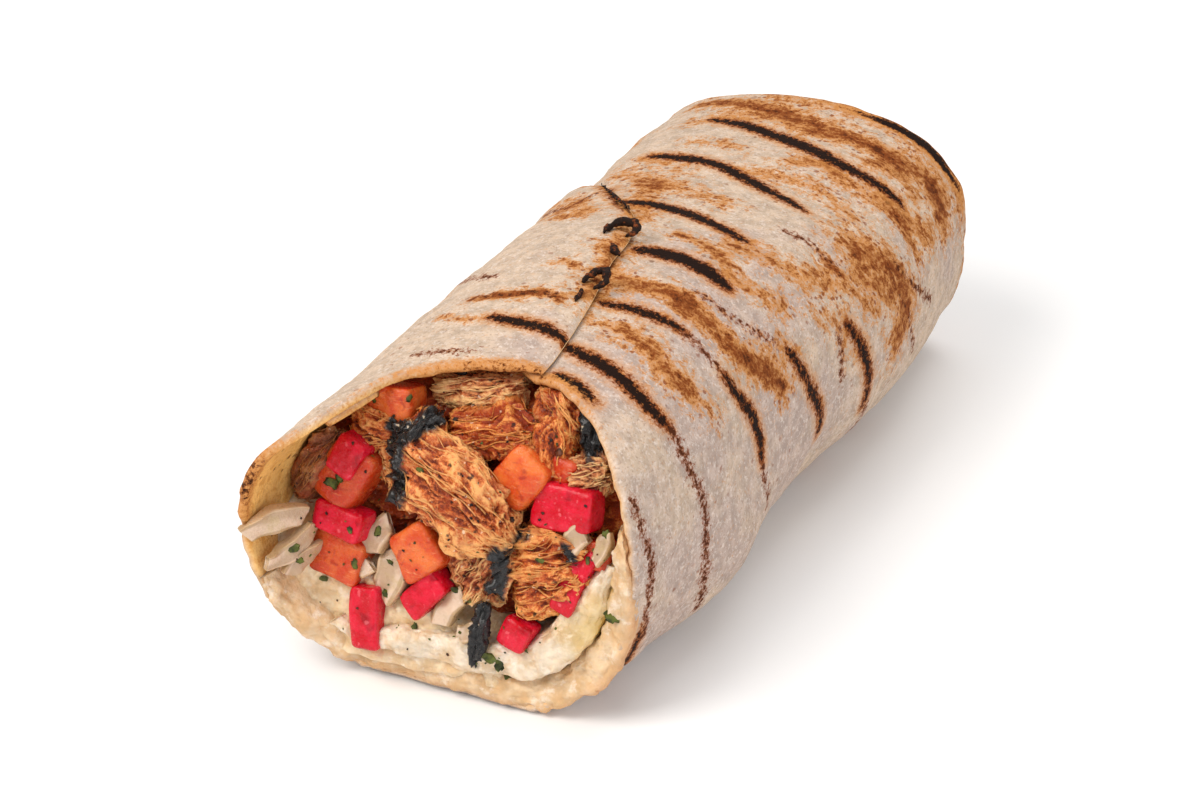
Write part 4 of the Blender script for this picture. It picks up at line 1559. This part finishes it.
def makeFlecks():
    # Thin torn leaves: flattened balls with a jagged outline, lying on what they fell on.
    rng = np.random.default_rng(7)
    find = surfaceFinder([name for name in madePieces if name not in ("sajFlatbread", "scorchedCurls")])
    way = ballGrid(5, 9)
    wanted = [(px, py, length, 0) for px, py, length in herbs["spots"]]
    wanted += [(px, py, length, 1) for px, py, length in herbs["pepper"]]
    angle, reach = rng.uniform(0, 2 * math.pi, herbs["specks"]), np.sqrt(rng.uniform(0, 1, herbs["specks"]))
    for a, r, length, kind in zip(angle, reach, rng.uniform(*herbs["speckLength"], herbs["specks"]),
                                  rng.uniform(0, 1, herbs["specks"])):
        wanted.append((herbs["middle"][0] + herbs["reach"][0] * r * math.cos(a),
                       herbs["middle"][1] + herbs["reach"][1] * r * math.sin(a), length,
                       int(kind > 1 - herbs["pepperShare"])))
    points, faces, dark, total = [], [], [], 0
    for number, (px, py, length, kind) in enumerate(wanted):
        place, normal = find(px, py)
        if place is None:
            continue
        place = np.array(place) * 1000 + [roll["zeroX"], roll["zeroY"], 0.0]
        normal = np.array(normal)
        if normal @ np.array(viewBack) < 0.1:
            normal = np.array(viewBack)
        side = np.cross(normal, rng.normal(size=3))
        side /= np.linalg.norm(side)
        across = np.cross(normal, side)
        thin = herbs["pepperThin"] if kind else herbs["leafThin"]
        wide = herbs["pepperWide"] if kind else rng.uniform(*herbs["leafWide"])
        jag = 1 + herbs["jag"] * smoothNoise(way * 2.3 + 3.1 * number, 33)
        bend = herbs["leafBend"] * way[..., :1] ** 2 * (0 if kind else 1)
        local = way * jag[..., None] * 0.5 * length
        lifted = (local[..., 2:] * thin + bend * 0.5 * length) * normal
        shape = local[..., :1] * side + local[..., 1:2] * wide * across + lifted
        flat, parts = closeBall(shape + place + herbs["lift"] * normal)
        points.append(flat)
        faces += [part + total for part in parts]
        dark.append(np.full(len(flat), float(kind)))
        total += len(flat)
    material, tree, shader = newMaterial("herbFlecks", **{"Roughness": 0.5, "Specular IOR Level": 0.3})
    place = millimetres(tree)
    green = mixed(tree, between(tree, cloud(tree, place, 0.7, 3.0), 0.36, 0.64), herbs["green"],
                  herbs["paleGreen"])
    brown = mixed(tree, between(tree, cloud(tree, place, 0.5, 2.0), 0.45, 0.6), herbs["black"],
                  herbs["rust"])
    tree.links.new(mixed(tree, valueOf(tree, "dark"), green, brown), shader.inputs["Base Color"])
    makePiece("herbsAndPepper", np.concatenate(points), faces, material, (),
              {"dark": np.concatenate(dark)})


makeFlecks()


def makeCamera():
    camera = bpy.data.objects.new("camera", bpy.data.cameras.new("camera"))
    camera.data.lens = viewpoint["lens"]
    camera.data.sensor_width = viewpoint["sensor"]
    camera.data.clip_start, camera.data.clip_end = 0.01, 10.0
    camera.location = viewEye
    camera.rotation_euler = (-viewBack).to_track_quat("-Z", "Y").to_euler()
    bpy.context.collection.objects.link(camera)
    bpy.context.scene.camera = camera


studio = {
    "daylight": 0.52, "floor": (0.92, 0.92, 0.92, 1.0), "floorReach": 4.0,
    # name: position, point aimed at, side length (metres), watts, colour
    "lamps": {"key": ((-0.35, -0.55, 0.75), (0.0, -0.03, 0.02), 0.55, 7.0, (1.0, 0.965, 0.92)),
              "fill": ((0.75, -0.45, 0.40), (0.0, 0.0, 0.02), 0.70, 3.0, (0.95, 0.97, 1.0)),
              "top": ((0.05, 0.35, 0.95), (0.0, 0.03, 0.03), 0.60, 3.4, (1.0, 0.98, 0.96))},
}


def makeStudio():
    world = bpy.data.worlds.new("paleStudio")
    bpy.context.scene.world = world
    world.use_nodes = True
    world.node_tree.nodes["Background"].inputs["Color"].default_value = (1.0, 1.0, 1.0, 1.0)
    world.node_tree.nodes["Background"].inputs["Strength"].default_value = studio["daylight"]
    for name, (place, aim, size, watts, colour) in studio["lamps"].items():
        lamp = bpy.data.lights.new(name, "AREA")
        lamp.size, lamp.energy, lamp.color = size, watts, colour
        holder = bpy.data.objects.new(name, lamp)
        holder.location = place
        holder.rotation_euler = (Vector(aim) - Vector(place)).to_track_quat("-Z", "Y").to_euler()
        bpy.context.collection.objects.link(holder)
    material, _, _ = newMaterial("paleFloor", **{"Base Color": studio["floor"], "Roughness": 0.9})
    mesh = bpy.data.meshes.new("floor")
    far = studio["floorReach"]
    mesh.from_pydata([(-far, -far, 0), (far, -far, 0), (far, far, 0), (-far, far, 0)], [], [(0, 1, 2, 3)])
    mesh.materials.append(material)
    floor = bpy.data.objects.new("floor", mesh)
    bpy.context.collection.objects.link(floor)
    bpy.context.scene.view_settings.view_transform = "Standard"


makeCamera()
makeStudio()
print("camera and studio made")
